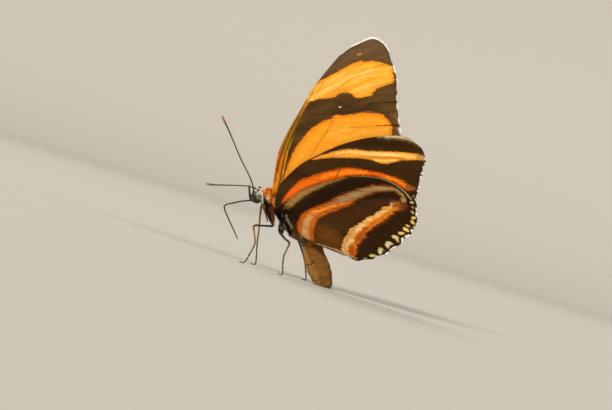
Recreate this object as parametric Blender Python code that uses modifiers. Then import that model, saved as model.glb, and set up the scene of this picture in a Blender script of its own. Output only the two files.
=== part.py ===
"""Banded orange butterfly, life size, standing with its wings closed over its back.

The head points to -X, the abdomen trails to +X, the left side faces -Y and +Z is up.
Every place is given in millimetres from the wing hinge, the point on the midline where
the wings meet the thorax, as (x, y, z) or, in the plane of the closed wings, as (x, z).
"""

import math

import bmesh
import bpy
from mathutils import Matrix, Vector
from mathutils.geometry import delaunay_2d_cdt

MM = 0.001

# Driving sizes of the whole insect.
STANDING_HEIGHT = 14.8
HINGE_FROM_CENTRE = (-6.9, -3.14)
BODY_PITCH = math.radians(17.0)
FACE_GAP = 0.3

# Wings: closed together, the forewings inside the hindwings.
MEMBRANE = 0.5
VEIN_HEIGHT = 0.8
VEIN_HALF_WIDTH = 0.36
FOREWING_OFF_MIDLINE = 0.8
HINDWING_OFF_MIDLINE = 2.05
FOREWING_ROOT_OFF = 2.5
HINDWING_ROOT_OFF = 3.5
FOREWING_CLOSES_WITHIN = 2.9
HINDWING_CLOSES_WITHIN = 3.9
WING_CAMBER = 0.5
WING_REACH = 43.0
SHEET_STEP = 2.7
ROW_SHARE = 0.866
CLEAR_SHARE = 0.45
VEIN_CLEARANCE = 0.45
EDGE_STEP = 1.5
SCALLOP_DEPTH = 0.32
SCALLOP_PITCH = 3.5
SCALLOP_STEP = 0.9

FOREWING_OUTLINE = [
    (-1.4, 0.6), (-2.1, 3.2), (-2.8, 7.5), (-3.2, 12.1), (-2.5, 17.0), (-1.3, 22.2),
    (-0.1, 27.3), (1.9, 32.7), (4.5, 38.2), (7.2, 41.0), (9.7, 42.8), (12.2, 42.5),
    (14.1, 41.2), (15.8, 38.6), (18.1, 34.8), (19.2, 30.9), (20.8, 27.0), (22.3, 23.7),
    (23.2, 20.6), (22.0, 17.6), (16.3, 11.8), (10.5, 7.2), (4.7, 2.9), (0.7, 0.1),
]
HINDWING_OUTLINE = [
    (-0.5, -0.2), (-0.9, 2.8), (-0.5, 5.2), (2.3, 10.2), (6.0, 14.0), (9.7, 17.2),
    (13.7, 19.8), (17.9, 21.8), (22.2, 23.2), (25.8, 23.1), (28.1, 21.7), (29.6, 19.5),
    (29.9, 13.4), (30.2, 10.4), (31.5, 6.8), (31.8, 4.3), (30.6, 1.4), (28.9, -1.3),
    (26.3, -4.2), (23.5, -6.1), (21.2, -7.0), (19.4, -6.8), (16.9, -6.4), (12.0, -6.0),
    (9.8, -5.6), (7.5, -5.1), (5.7, -3.9), (3.8, -2.3),
]
# Where the hindwing's scalloped margin begins and ends, as points of its outline.
HINDWING_MARGIN = (11, 21)

# The lobe that thickens each wing's root: its middle and its radii.
FOREWING_LOBE = ((-0.5, 2.2, 1.0), (1.0, 0.75, 0.9))
HINDWING_LOBE = ((2.3, 2.6, -1.1), (1.2, 1.2, 0.9))

# The discal cell of each wing, and the directions in which its veins fan out.
FOREWING_CELL = {
    "root": (-0.4, 1.2), "upper": (-0.7, 14.0), "top": (2.4, 24.0),
    "bottom": (6.6, 21.8), "lower": (3.0, 12.0),
}
FOREWING_FAN_CENTRE = (-1.0, 12.0)
FOREWING_FAN = [85.0, 74.0, 67.5, 61.0, 53.0, 45.0, 36.0, 27.5, 20.0]
HINDWING_CELL = {
    "root": (1.0, 0.4), "upper": (5.5, 8.4), "top": (13.2, 12.0),
    "bottom": (14.6, 6.2), "lower": (7.0, 2.8),
}
HINDWING_FAN_CENTRE = (7.5, 5.0)
HINDWING_FAN = [48.0, 35.0, 20.0, 7.5, -5.5, -18.0, -32.0]
FIRST_VEIN_ALONG_CELL = 0.75
LAST_VEIN_ALONG_CELL = 0.45
VEIN_ENDS_SHORT = 0.7
VEIN_BOW = 0.4

# Body sections: x, z of the middle, half depth, half width.
THORAX = [
    (-4.1, 1.1, 0.9, 0.8), (-3.6, 1.05, 1.45, 1.2), (-2.9, 1.0, 1.85, 1.5),
    (-1.9, 1.0, 2.0, 1.8), (-0.6, 0.9, 2.15, 1.95), (0.9, 0.4, 2.25, 2.0),
    (2.4, -0.6, 2.25, 1.95), (3.6, -1.9, 2.15, 1.85), (4.5, -3.1, 1.85, 1.65),
    (5.2, -4.1, 1.3, 1.3),
]
ABDOMEN = [
    (4.9, -3.7, 1.2, 1.1), (5.6, -4.3, 1.5, 1.4), (6.8, -4.6, 1.65, 1.55),
    (8.8, -5.2, 1.85, 1.75), (10.6, -7.1, 2.15, 1.95), (12.0, -9.35, 2.45, 2.1),
    (13.2, -10.95, 2.6, 2.15), (14.2, -12.2, 2.4, 2.05), (14.85, -13.2, 2.2, 1.9),
    (15.5, -14.3, 1.9, 1.6), (15.9, -15.0, 1.4, 1.2),
]
THORAX_STEP = 0.9
ABDOMEN_STEP = 0.62
POLE_SHARE = 0.42
ABDOMEN_SEGMENTS = 8
SEGMENT_GROOVE = 0.07
GROOVE_SHARE = 0.17

HEAD_AT = (-4.85, 1.05)
HEAD_RADII = (1.3, 1.15, 1.75)
EYE_AT = (-4.95, 1.05, 0.35)
EYE_RADII = (1.15, 0.9, 1.45)
TEGULA_AT = (-2.55, 1.6, 1.3)
TEGULA_RADII = (0.62, 0.75, 1.55)

# Feelers, mouthparts and legs: x, y, z and radius along each, left side.
ANTENNA_NEAR = [
    (-5.3, -0.45, 1.0, 0.3), (-6.2, -0.6, 2.1, 0.3), (-7.8, -1.1, 4.3, 0.25),
    (-10.9, -2.0, 7.6, 0.25), (-14.3, -2.9, 11.7, 0.25), (-16.4, -3.5, 14.2, 0.3),
    (-17.1, -3.7, 14.9, 0.38), (-17.7, -3.9, 15.6, 0.34),
]
ANTENNA_FAR = [
    (-5.3, 0.45, 1.0, 0.3), (-6.1, 0.9, 2.0, 0.3), (-7.5, 2.2, 2.2, 0.25),
    (-10.2, 4.9, 1.6, 0.25), (-13.2, 8.2, 0.8, 0.25), (-15.7, 11.1, 0.1, 0.3),
    (-16.5, 12.0, 0.0, 0.38), (-17.3, 12.9, -0.1, 0.34),
]
PALP = [
    (-5.2, -0.75, -0.3, 0.36), (-5.8, -0.85, -0.7, 0.38), (-6.45, -0.8, 0.1, 0.38),
    (-7.0, -0.7, 1.35, 0.32), (-7.4, -0.65, 2.4, 0.25),
]
PROBOSCIS = [
    (-5.2, 0.0, -0.2, 0.27), (-6.3, 0.0, -0.8, 0.27), (-7.9, 0.0, -1.5, 0.26),
    (-9.9, 0.0, -2.55, 0.26), (-11.05, 0.0, -3.25, 0.26), (-11.4, 0.0, -3.9, 0.26),
    (-10.9, 0.0, -4.8, 0.26), (-9.2, 0.0, -6.8, 0.25), (-7.5, 0.0, -8.7, 0.25),
    (-6.4, 0.0, -10.0, 0.22),
]
FORELEG = [
    (-2.6, -0.5, 0.6, 0.34), (-3.2, -0.55, -0.9, 0.34), (-2.1, -0.6, -2.4, 0.32),
    (-1.0, -0.65, -4.2, 0.25),
]
MIDLEG_LEFT = [
    (-1.7, -0.9, 0.3, 0.9), (-1.4, -1.25, -1.0, 0.95), (-0.65, -1.5, -2.6, 0.8),
    (0.15, -1.9, -4.0, 0.5), (0.35, -2.3, -4.85, 0.36), (-1.6, -3.8, -5.4, 0.3),
    (-3.5, -5.0, -6.0, 0.32), (-3.0, -5.3, -7.6, 0.27), (-2.2, -5.7, -9.7, 0.26),
    (-2.6, -6.1, -12.3, 0.25), (-3.2, -6.4, -14.45, 0.27), (-4.2, -6.5, -14.72, 0.26),
]
MIDLEG_RIGHT = [
    (-1.7, 0.9, 0.3, 0.9), (-1.3, 1.3, -0.9, 0.9), (-1.2, 1.9, -2.3, 0.6),
    (-2.2, 2.7, -1.6, 0.4), (-3.35, 3.6, -0.9, 0.34), (-3.1, 4.1, -3.3, 0.3),
    (-2.4, 4.6, -6.6, 0.27), (-1.9, 5.1, -9.6, 0.26), (-1.2, 5.6, -12.6, 0.25),
    (-0.9, 5.9, -14.45, 0.27), (-1.8, 6.1, -14.72, 0.26),
]
HINDLEG_LEFT = [
    (3.2, -0.9, -1.9, 0.9), (2.7, -1.4, -3.4, 0.95), (2.6, -2.0, -5.0, 0.7),
    (2.9, -2.6, -6.0, 0.42), (4.0, -3.4, -6.8, 0.32), (5.2, -4.2, -7.4, 0.32),
    (5.1, -4.8, -9.0, 0.27), (4.9, -5.4, -10.7, 0.26), (5.3, -5.9, -12.8, 0.25),
    (5.8, -6.3, -14.45, 0.27), (5.0, -6.6, -14.72, 0.26),
]
HINDLEG_RIGHT = [
    (3.4, 0.9, -2.1, 0.9), (3.3, 1.5, -3.3, 0.8), (3.7, 2.5, -4.0, 0.5),
    (4.6, 3.6, -3.9, 0.36), (5.9, 4.1, -5.2, 0.3), (7.1, 4.5, -6.5, 0.29),
    (9.3, 5.2, -9.6, 0.26), (10.6, 5.8, -12.4, 0.25), (11.3, 6.2, -14.45, 0.27),
    (10.6, 6.6, -14.72, 0.26),
]
TUBE_STEP = 0.95
TUBE_SIDES_LEVEL = 2

# Sides and rings of the round forms, and distances in metres at which points are joined.
BALL = (16, 10)
EYE_BALL = (18, 12)
LOBE_BALL = (12, 8)
WELD = 0.00002
SLIVER = 0.00001
SMOOTH_ANGLE = math.radians(50.0)
FAR_AWAY = 1000.0

COLOURS = {
    "thorax": ((0.030, 0.022, 0.012), 0.85),
    "head": ((0.025, 0.020, 0.014), 0.80),
    "abdomen": ((0.230, 0.105, 0.020), 0.75),
    "eye": ((0.045, 0.050, 0.035), 0.25),
    "feeler": ((0.012, 0.010, 0.008), 0.50),
    "leg": ((0.085, 0.040, 0.012), 0.60),
    "forewing": ((0.900, 0.330, 0.030), 0.65),
    "hindwing": ((0.110, 0.045, 0.010), 0.65),
}


def clear_scene():
    for old in list(bpy.data.objects):
        bpy.data.objects.remove(old, do_unlink=True)


def new_collection(name):
    made = bpy.data.collections.new(name)
    bpy.context.scene.collection.children.link(made)
    return made


clear_scene()
PARTS = new_collection("banded_orange_butterfly")
CUTTERS = new_collection("cutters")


def make_material(kind):
    colour, roughness = COLOURS[kind]
    made = bpy.data.materials.new(kind)
    made.use_nodes = True
    shader = made.node_tree.nodes["Principled BSDF"]
    shader.inputs["Base Color"].default_value = (*colour, 1.0)
    shader.inputs["Roughness"].default_value = roughness
    shader.inputs["Metallic"].default_value = 0.0
    return made


MATERIALS = {kind: make_material(kind) for kind in COLOURS}


def make_hinge():
    """The empty that carries every piece, at the wing hinge above the ground."""
    empty = bpy.data.objects.new("hinge", None)
    empty.location = (HINGE_FROM_CENTRE[0] * MM, HINGE_FROM_CENTRE[1] * MM, STANDING_HEIGHT * MM)
    PARTS.objects.link(empty)
    return empty


HINGE = make_hinge()


def add_object(name, mesh, collection=PARTS):
    made = bpy.data.objects.new(name, mesh)
    collection.objects.link(made)
    return made


def add_cutter(name, mesh):
    made = add_object(name, mesh, CUTTERS)
    made.hide_render = True
    made.display_type = "WIRE"
    return made


def mesh_from(work, name):
    """A mesh from bmesh work, with its faces pointing out."""
    bmesh.ops.recalc_face_normals(work, faces=work.faces)
    mesh = bpy.data.meshes.new(name)
    work.to_mesh(mesh)
    work.free()
    return mesh


def keep_largest_piece(work):
    """Drops every loose scrap, so that a node is one closed surface."""
    left = set(work.verts)
    pieces = []
    while left:
        queue = [left.pop()]
        piece = set(queue)
        while queue:
            for edge in queue.pop().link_edges:
                for vert in edge.verts:
                    if vert not in piece:
                        piece.add(vert)
                        queue.append(vert)
        left -= piece
        pieces.append(piece)
    pieces.sort(key=len)
    scraps = [vert for piece in pieces[:-1] for vert in piece]
    bmesh.ops.delete(work, geom=scraps, context="VERTS")


def evaluated_mesh(piece):
    bpy.context.view_layer.update()
    depsgraph = bpy.context.evaluated_depsgraph_get()
    return bpy.data.meshes.new_from_object(piece.evaluated_get(depsgraph))


def finish(piece, kind):
    """Applies the modifiers, keeps one closed surface and hangs the piece on the hinge."""
    mesh = evaluated_mesh(piece)
    work = bmesh.new()
    work.from_mesh(mesh)
    bmesh.ops.remove_doubles(work, verts=work.verts, dist=WELD)
    bmesh.ops.dissolve_degenerate(work, edges=work.edges, dist=SLIVER)
    keep_largest_piece(work)
    bmesh.ops.triangulate(work, faces=work.faces)
    work.to_mesh(mesh)
    work.free()
    piece.modifiers.clear()
    piece.vertex_groups.clear()
    piece.data = mesh
    mesh.name = piece.name
    mesh.materials.clear()
    mesh.materials.append(MATERIALS[kind])
    mesh.shade_smooth()
    mesh.set_sharp_from_angle(angle=SMOOTH_ANGLE)
    piece.parent = HINGE
    return piece


def combine(piece, other, operation):
    cut = piece.modifiers.new(operation.lower(), "BOOLEAN")
    cut.operation = operation
    cut.object = other
    cut.solver = "EXACT"


# Curves through points.

def smooth_path(points, step, closed=False):
    """Points about one step apart on a smooth curve through the given points."""
    count = len(points)
    spans = count if closed else count - 1
    result = []
    for index in range(spans):
        near = [Vector(points[(index + shift) % count]) for shift in (-1, 0, 1, 2)]
        if not closed and index == 0:
            near[0] = near[1] * 2 - near[2]
        if not closed and index == spans - 1:
            near[3] = near[2] * 2 - near[1]
        parts = max(1, round((near[2] - near[1]).length / step))
        for part in range(parts):
            t = part / parts
            pull = (near[2] - near[0]) * 0.5
            push = (near[3] - near[1]) * 0.5
            result.append(
                near[1] * (2 * t ** 3 - 3 * t ** 2 + 1) + pull * (t ** 3 - 2 * t ** 2 + t)
                + near[2] * (3 * t ** 2 - 2 * t ** 3) + push * (t ** 3 - t ** 2)
            )
    if not closed:
        result.append(Vector(points[-1]))
    return result


# Body: head, thorax, abdomen and eyes.

def ball_mesh(name, centre, radii, pitch=0.0, grow=0.0, sides_and_rings=BALL):
    """An ellipsoid with its poles up and down, leaning by the pitch."""
    work = bmesh.new()
    sides, rings = sides_and_rings
    bmesh.ops.create_uvsphere(work, u_segments=sides, v_segments=rings, radius=MM)
    sizes = [radius + grow for radius in radii]
    lean = Matrix.Rotation(-pitch, 4, "Y")
    place = Matrix.Translation(Vector(centre) * MM) @ lean @ Matrix.Diagonal((*sizes, 1.0))
    bmesh.ops.transform(work, matrix=place, verts=work.verts)
    return mesh_from(work, name)


def body_mesh(name, sections, grow=0.0):
    """A sphere drawn out along the sections: each ring stands across the body's line."""
    work = bmesh.new()
    rings_needed = len(sections) + 1
    bmesh.ops.create_uvsphere(work, u_segments=BALL[0], v_segments=rings_needed, radius=1.0)
    rings = {}
    for vert in work.verts:
        rings.setdefault(round(vert.co.z, 5), []).append(vert)
    levels = sorted(rings)
    middles = [Vector((x, 0.0, z)) for x, z, depth, width in sections]
    last = len(middles) - 1
    for level, height in enumerate(levels):
        place = min(max(level - 1, 0), last)
        ahead = middles[min(place + 1, last)] - middles[max(place - 1, 0)]
        along = ahead.normalized()
        across = Vector((along.z, 0.0, -along.x))
        x, z, depth, width = sections[place]
        for vert in rings[height]:
            if level in (0, len(levels) - 1):
                outward = -1.0 if level == 0 else 1.0
                vert.co = middles[place] + along * outward * (POLE_SHARE * depth + grow)
                continue
            angle = math.atan2(vert.co.y, vert.co.x)
            vert.co = (
                middles[place]
                + across * (depth + grow) * math.cos(angle)
                + Vector((0.0, 1.0, 0.0)) * (width + grow) * math.sin(angle)
            )
    bmesh.ops.scale(work, vec=(MM, MM, MM), verts=work.verts)
    return mesh_from(work, name)


def abdomen_sections():
    """The abdomen's sections with a shallow groove behind each segment."""
    even = smooth_path(ABDOMEN, ABDOMEN_STEP)
    total = len(even) - 1
    result = []
    for index, section in enumerate(even):
        share = index / total * ABDOMEN_SEGMENTS
        in_groove = abs(share - round(share)) < GROOVE_SHARE and 0 < index < total
        groove = SEGMENT_GROOVE if in_groove else 0.0
        x, z, depth, width = section
        result.append((x, z, depth - groove, width - groove))
    return result


def cut_flat_on_ground(piece):
    """Trims a piece level with the ground and closes the small flat that it rests on."""
    work = bmesh.new()
    work.from_mesh(piece.data)
    ground = Vector((0.0, 0.0, -STANDING_HEIGHT * MM))
    everything = list(work.verts) + list(work.edges) + list(work.faces)
    bmesh.ops.bisect_plane(
        work, geom=everything, plane_co=ground, plane_no=(0.0, 0.0, -1.0),
        clear_outer=True,
    )
    rim = [edge for edge in work.edges if edge.is_boundary]
    if rim:
        bmesh.ops.holes_fill(work, edges=rim, sides=0)
    bmesh.ops.recalc_face_normals(work, faces=work.faces)
    work.to_mesh(piece.data)
    work.free()


def thorax_sections():
    return smooth_path(THORAX, THORAX_STEP)


def make_inflated_body():
    """Copies of the body, larger by the gap, that trim what grows from it."""
    thorax = add_cutter("thorax_room", body_mesh("thorax_room", thorax_sections(), FACE_GAP))
    centre = (HEAD_AT[0], 0.0, HEAD_AT[1])
    head_mesh = ball_mesh("head_room", centre, HEAD_RADII, BODY_PITCH, FACE_GAP)
    return thorax, add_cutter("head_room", head_mesh)


def side_name(side):
    return "left" if side < 0 else "right"


def eye_ball(name, side, grow=0.0):
    x, y, z = EYE_AT
    return ball_mesh(name, (x, side * y, z), EYE_RADII, BODY_PITCH, grow, EYE_BALL)


def make_eye_rooms():
    rooms = []
    for side in (-1, 1):
        name = "eye_room_" + side_name(side)
        rooms.append(add_cutter(name, eye_ball(name, side, FACE_GAP)))
    return rooms


THORAX_ROOM, HEAD_ROOM = make_inflated_body()
EYE_ROOMS = make_eye_rooms()


def make_thorax():
    piece = add_object("thorax", body_mesh("thorax", thorax_sections()))
    for side in (-1, 1):
        x, y, z = TEGULA_AT
        name = "tegula_" + side_name(side)
        lobe_mesh = ball_mesh(name, (x, side * y, z), TEGULA_RADII, BODY_PITCH, 0.0, LOBE_BALL)
        combine(piece, add_cutter(name, lobe_mesh), "UNION")
    return finish(piece, "thorax")


def make_head():
    centre = (HEAD_AT[0], 0.0, HEAD_AT[1])
    piece = add_object("head", ball_mesh("head", centre, HEAD_RADII, BODY_PITCH))
    combine(piece, THORAX_ROOM, "DIFFERENCE")
    return finish(piece, "head")


def make_eye(side):
    name = "eye_" + side_name(side)
    piece = add_object(name, eye_ball(name, side))
    combine(piece, HEAD_ROOM, "DIFFERENCE")
    combine(piece, THORAX_ROOM, "DIFFERENCE")
    return finish(piece, "eye")


def make_abdomen():
    piece = add_object("abdomen", body_mesh("abdomen", abdomen_sections()))
    cut_flat_on_ground(piece)
    combine(piece, THORAX_ROOM, "DIFFERENCE")
    return finish(piece, "abdomen")


# Legs, feelers and mouthparts: tubes that taper along a smooth line.

def tube_mesh(name, points):
    """A round tube through the points, each with its own radius, closed at both ends."""
    curve = bpy.data.curves.new(name, "CURVE")
    curve.dimensions = "3D"
    curve.bevel_depth = MM
    curve.bevel_resolution = TUBE_SIDES_LEVEL
    curve.use_fill_caps = True
    path = smooth_path(points, TUBE_STEP)
    spline = curve.splines.new("POLY")
    spline.points.add(len(path) - 1)
    for point, (x, y, z, radius) in zip(spline.points, path):
        point.co = (x * MM, y * MM, z * MM, 1.0)
        point.radius = radius
    holder = add_object(name + "_line", curve)
    mesh = evaluated_mesh(holder)
    bpy.data.objects.remove(holder, do_unlink=True)
    work = bmesh.new()
    work.from_mesh(mesh)
    bmesh.ops.remove_doubles(work, verts=work.verts, dist=SLIVER)
    bmesh.ops.recalc_face_normals(work, faces=work.faces)
    work.to_mesh(mesh)
    work.free()
    return mesh


def mirrored(points):
    return [(x, -y, z, radius) for x, y, z, radius in points]


def make_limb(name, points, kind, rooms, on_ground=False):
    piece = add_object(name, tube_mesh(name, points))
    if on_ground:
        cut_flat_on_ground(piece)
    for room in rooms:
        combine(piece, room, "DIFFERENCE")
    return finish(piece, kind)


def make_limbs():
    make_limb("antenna_left", ANTENNA_NEAR, "feeler", [HEAD_ROOM])
    make_limb("antenna_right", ANTENNA_FAR, "feeler", [HEAD_ROOM])
    make_limb("palp_left", PALP, "feeler", [HEAD_ROOM, *EYE_ROOMS])
    make_limb("palp_right", mirrored(PALP), "feeler", [HEAD_ROOM, *EYE_ROOMS])
    make_limb("proboscis", PROBOSCIS, "feeler", [HEAD_ROOM])
    make_limb("foreleg_left", FORELEG, "leg", [THORAX_ROOM, HEAD_ROOM])
    make_limb("foreleg_right", mirrored(FORELEG), "leg", [THORAX_ROOM, HEAD_ROOM])
    make_limb("midleg_left", MIDLEG_LEFT, "leg", [THORAX_ROOM], on_ground=True)
    make_limb("midleg_right", MIDLEG_RIGHT, "leg", [THORAX_ROOM], on_ground=True)
    make_limb("hindleg_left", HINDLEG_LEFT, "leg", [THORAX_ROOM], on_ground=True)
    make_limb("hindleg_right", HINDLEG_RIGHT, "leg", [THORAX_ROOM], on_ground=True)


# Wings: a sheet with its veins raised on both faces.

def distance_to_body(place):
    """How far a point of the wing plane lies from the line along thorax and abdomen."""
    line = [Vector((x, z)) for x, z, depth, width in THORAX[3:] + ABDOMEN[2:]]
    nearest = FAR_AWAY
    for start, end in zip(line, line[1:]):
        span = end - start
        share = min(1.0, max(0.0, (place - start).dot(span) / span.length_squared))
        nearest = min(nearest, (place - start - span * share).length)
    return nearest


def off_midline(place, at_rest, at_root, closes_within):
    """How far a wing stands off the midline: wide beside the body, closed beyond it."""
    room = 1.0 / (1.0 + (distance_to_body(place) / closes_within) ** 4)
    camber = WING_CAMBER * (place.length / WING_REACH) ** 2
    return at_rest + (at_root - at_rest) * room + camber


def scalloped(outline, first, last):
    """The outline with small scallops along its outer margin, down to the inner margin."""
    smooth = smooth_path(outline[:first + 1], EDGE_STEP)
    margin = smooth_path(outline[first:last], SCALLOP_STEP)
    inner = smooth_path(outline[last - 1:] + [outline[0]], EDGE_STEP)[:-1]
    length = 0.0
    waved = []
    for index, point in enumerate(margin):
        if index:
            length += (point - margin[index - 1]).length
        before = margin[max(index - 1, 0)]
        after = margin[min(index + 1, len(margin) - 1)]
        along = (after - before).normalized()
        outward = Vector((-along.y, along.x))
        wave = 0.5 * SCALLOP_DEPTH * (math.cos(2 * math.pi * length / SCALLOP_PITCH) - 1.0)
        waved.append(point + outward * wave)
    return smooth[:-1] + waved + inner[1:]


def outline_crossing(outline, centre, degrees):
    """Where a line from the centre at this direction leaves the wing."""
    heading = Vector((math.cos(math.radians(degrees)), math.sin(math.radians(degrees))))
    best = 0.0
    for start, end in zip(outline, outline[1:] + outline[:1]):
        span = end - start
        cross = heading.x * span.y - heading.y * span.x
        if abs(cross) < 1e-9:
            continue
        offset = start - centre
        reach = (offset.x * span.y - offset.y * span.x) / cross
        share = (offset.x * heading.y - offset.y * heading.x) / cross
        if 0.0 <= share <= 1.0:
            best = max(best, reach)
    return centre + heading * (best - VEIN_ENDS_SHORT)


def wing_veins(outline, cell, fan_centre, fan):
    """The discal cell's rim and the veins that fan from it to the margin."""
    corner = {name: Vector(place) for name, place in cell.items()}
    veins = [
        smooth_path([corner["root"], corner["upper"], corner["top"]], SHEET_STEP),
        smooth_path([corner["root"], corner["lower"], corner["bottom"]], SHEET_STEP),
        smooth_path([corner["top"], corner["bottom"]], SHEET_STEP),
    ]
    centre = Vector(fan_centre)
    for index, degrees in enumerate(fan):
        share = min(1.0, max(0.0, (index - 1) / (len(fan) - 3)))
        start = corner["top"].lerp(corner["bottom"], share)
        if index == 0:
            start = corner["upper"].lerp(corner["top"], FIRST_VEIN_ALONG_CELL)
        if index == len(fan) - 1:
            start = corner["lower"].lerp(corner["bottom"], LAST_VEIN_ALONG_CELL)
        end = outline_crossing(outline, centre, degrees)
        bend = start.lerp(end, 0.5) + (end - centre).normalized() * VEIN_BOW
        veins.append(smooth_path([start, bend, end], SHEET_STEP))
    return veins


def distance_to_veins(place, veins):
    nearest = FAR_AWAY
    for vein in veins:
        for start, end in zip(vein, vein[1:]):
            span = end - start
            share = min(1.0, max(0.0, (place - start).dot(span) / span.length_squared))
            nearest = min(nearest, (place - start - span * share).length)
    return nearest


def beside(line, shift):
    """A line run alongside another, shifted to its left."""
    result = []
    for index, point in enumerate(line):
        ahead = line[min(index + 1, len(line) - 1)] - line[max(index - 1, 0)]
        along = ahead.normalized()
        result.append(point + Vector((-along.y, along.x)) * shift)
    return result


def inside(place, outline):
    within = False
    for start, end in zip(outline, outline[1:] + outline[:1]):
        if (start.y > place.y) != (end.y > place.y):
            crossing = (end.x - start.x) * (place.y - start.y) / (end.y - start.y) + start.x
            if place.x < crossing:
                within = not within
    return within


def distance_to_outline(place, outline):
    return distance_to_veins(place, [outline + outline[:1]])


def sheet_triangles(outline, veins):
    """Splits the wing into triangles that follow its veins."""
    points = list(outline)
    edges = [(index, (index + 1) % len(outline)) for index in range(len(outline))]
    lines = []
    for vein in veins:
        lines.extend([vein, beside(vein, VEIN_HALF_WIDTH), beside(vein, -VEIN_HALF_WIDTH)])
    for line in lines:
        within = [place for place in line if inside(place, outline)]
        kept = [place for place in within if distance_to_outline(place, outline) > VEIN_CLEARANCE]
        first = len(points)
        points.extend(kept)
        edges.extend((first + index, first + index + 1) for index in range(len(kept) - 1))
    xs = [p.x for p in outline]
    ys = [p.y for p in outline]
    clear = CLEAR_SHARE * SHEET_STEP
    row = 0
    height = min(ys)
    while height < max(ys):
        across = min(xs) + (0.5 * SHEET_STEP if row % 2 else 0.0)
        while across < max(xs):
            place = Vector((across, height))
            if inside(place, outline) and distance_to_outline(place, outline) > clear:
                if distance_to_veins(place, veins) > clear:
                    points.append(place)
            across += SHEET_STEP
        height += SHEET_STEP * ROW_SHARE
        row += 1
    loop = list(range(len(outline)))
    made = delaunay_2d_cdt(points, edges, [loop], 1, 1e-4)
    return made[0], made[2]


def wing_mesh(name, side, outline, veins, stand_off):
    verts, faces = sheet_triangles(outline, veins)
    work = bmesh.new()
    weights = []
    for place in verts:
        out = off_midline(place, *stand_off)
        work.verts.new((place.x * MM, side * out * MM, place.y * MM))
        away = distance_to_veins(place, veins)
        weights.append(max(0.0, 1.0 - away / VEIN_HALF_WIDTH))
    work.verts.ensure_lookup_table()
    for face in faces:
        work.faces.new([work.verts[index] for index in face])
    return mesh_from(work, name), weights


def make_wing(name, side, outline, veins, stand_off, lobe):
    mesh, weights = wing_mesh(name, side, outline, veins, stand_off)
    piece = add_object(name, mesh)
    group = piece.vertex_groups.new(name="veins")
    for index, weight in enumerate(weights):
        group.add([index], weight, "REPLACE")
    wall = piece.modifiers.new("membrane", "SOLIDIFY")
    wall.thickness = VEIN_HEIGHT * MM
    wall.offset = 0.0
    wall.vertex_group = group.name
    wall.thickness_vertex_group = MEMBRANE / VEIN_HEIGHT
    (x, y, z), radii = lobe
    lobe_name = name + "_lobe"
    lobe_mesh = ball_mesh(lobe_name, (x, side * y, z), radii, 0.0, 0.0, LOBE_BALL)
    combine(piece, add_cutter(lobe_name, lobe_mesh), "UNION")
    combine(piece, THORAX_ROOM, "DIFFERENCE")
    return finish(piece, name.split("_")[0])


def make_wings():
    fore = smooth_path(FOREWING_OUTLINE, EDGE_STEP, closed=True)
    fore = [Vector(point) for point in fore]
    hind = scalloped(HINDWING_OUTLINE, *HINDWING_MARGIN)
    fore_veins = wing_veins(fore, FOREWING_CELL, FOREWING_FAN_CENTRE, FOREWING_FAN)
    hind_veins = wing_veins(hind, HINDWING_CELL, HINDWING_FAN_CENTRE, HINDWING_FAN)
    fore_off = (FOREWING_OFF_MIDLINE, FOREWING_ROOT_OFF, FOREWING_CLOSES_WITHIN)
    hind_off = (HINDWING_OFF_MIDLINE, HINDWING_ROOT_OFF, HINDWING_CLOSES_WITHIN)
    for side in (-1, 1):
        name = side_name(side)
        make_wing("forewing_" + name, side, fore, fore_veins, fore_off, FOREWING_LOBE)
        make_wing("hindwing_" + name, side, hind, hind_veins, hind_off, HINDWING_LOBE)


make_thorax()
make_head()
make_abdomen()
for eye_side in (-1, 1):
    make_eye(eye_side)
make_limbs()
make_wings()
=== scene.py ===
"""Looks of the banded orange butterfly: patterned wings, furred body, eyes, feelers and legs.

Places are in millimetres from the wing hinge, as in the CAD source: x runs to the tail, y to
the right side and z up. The pattern of the wings is laid out on the side view in pixels of
its 612 x 410 frame, and on_wing() turns those into millimetres.
"""

import math

import bmesh
import bpy
import numpy as np
from mathutils import Matrix, Vector
from mathutils.geometry import delaunay_2d_cdt


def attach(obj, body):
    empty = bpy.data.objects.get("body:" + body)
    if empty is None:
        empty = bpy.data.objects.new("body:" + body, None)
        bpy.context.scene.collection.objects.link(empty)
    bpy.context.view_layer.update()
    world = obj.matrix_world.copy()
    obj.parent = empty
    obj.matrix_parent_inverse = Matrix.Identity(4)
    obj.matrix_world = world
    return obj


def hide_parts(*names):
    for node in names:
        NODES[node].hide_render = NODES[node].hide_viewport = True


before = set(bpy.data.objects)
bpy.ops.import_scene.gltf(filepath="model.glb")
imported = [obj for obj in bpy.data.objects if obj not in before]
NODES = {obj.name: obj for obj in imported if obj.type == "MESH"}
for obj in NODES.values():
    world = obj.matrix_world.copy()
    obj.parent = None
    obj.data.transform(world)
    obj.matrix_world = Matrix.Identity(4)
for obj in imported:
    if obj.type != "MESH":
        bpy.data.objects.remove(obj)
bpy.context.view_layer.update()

bl_info = {
    "name": "Banded orange butterfly",
    "version": (1, 0, 0),
    "blender": (4, 5, 0),
    "location": "View3D > Sidebar > Butterfly",
    "description": "Builds the finished surfaces of a life-size butterfly around its solids",
    "category": "Add Mesh",
}

MM = 0.001

# Where the wing hinge stands in the frame, and the size of the side view.
HINGE = np.array((-6.9, -3.14, 14.8))
GROUND = -HINGE[2]
BODY_PITCH = math.radians(17.0)
VIEW_WIDE = 612
VIEW_HIGH = 410
MM_PER_PIXEL = 0.2275
HINGE_PIXEL = (277.0, 205.0)

SIDES = (-1, 1)

# How far each wing stands off the midline, in millimetres: away from the body, beside it, and how
# far from the body's line it closes.
FOREWING_OFF = (0.8, 2.5, 2.9)
HINDWING_OFF = (2.05, 3.5, 3.9)
WING_CAMBER = 0.5
WING_REACH = 43.0
ROOT_REACH = 1.3
ROOT_INSET = 1.5

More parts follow.
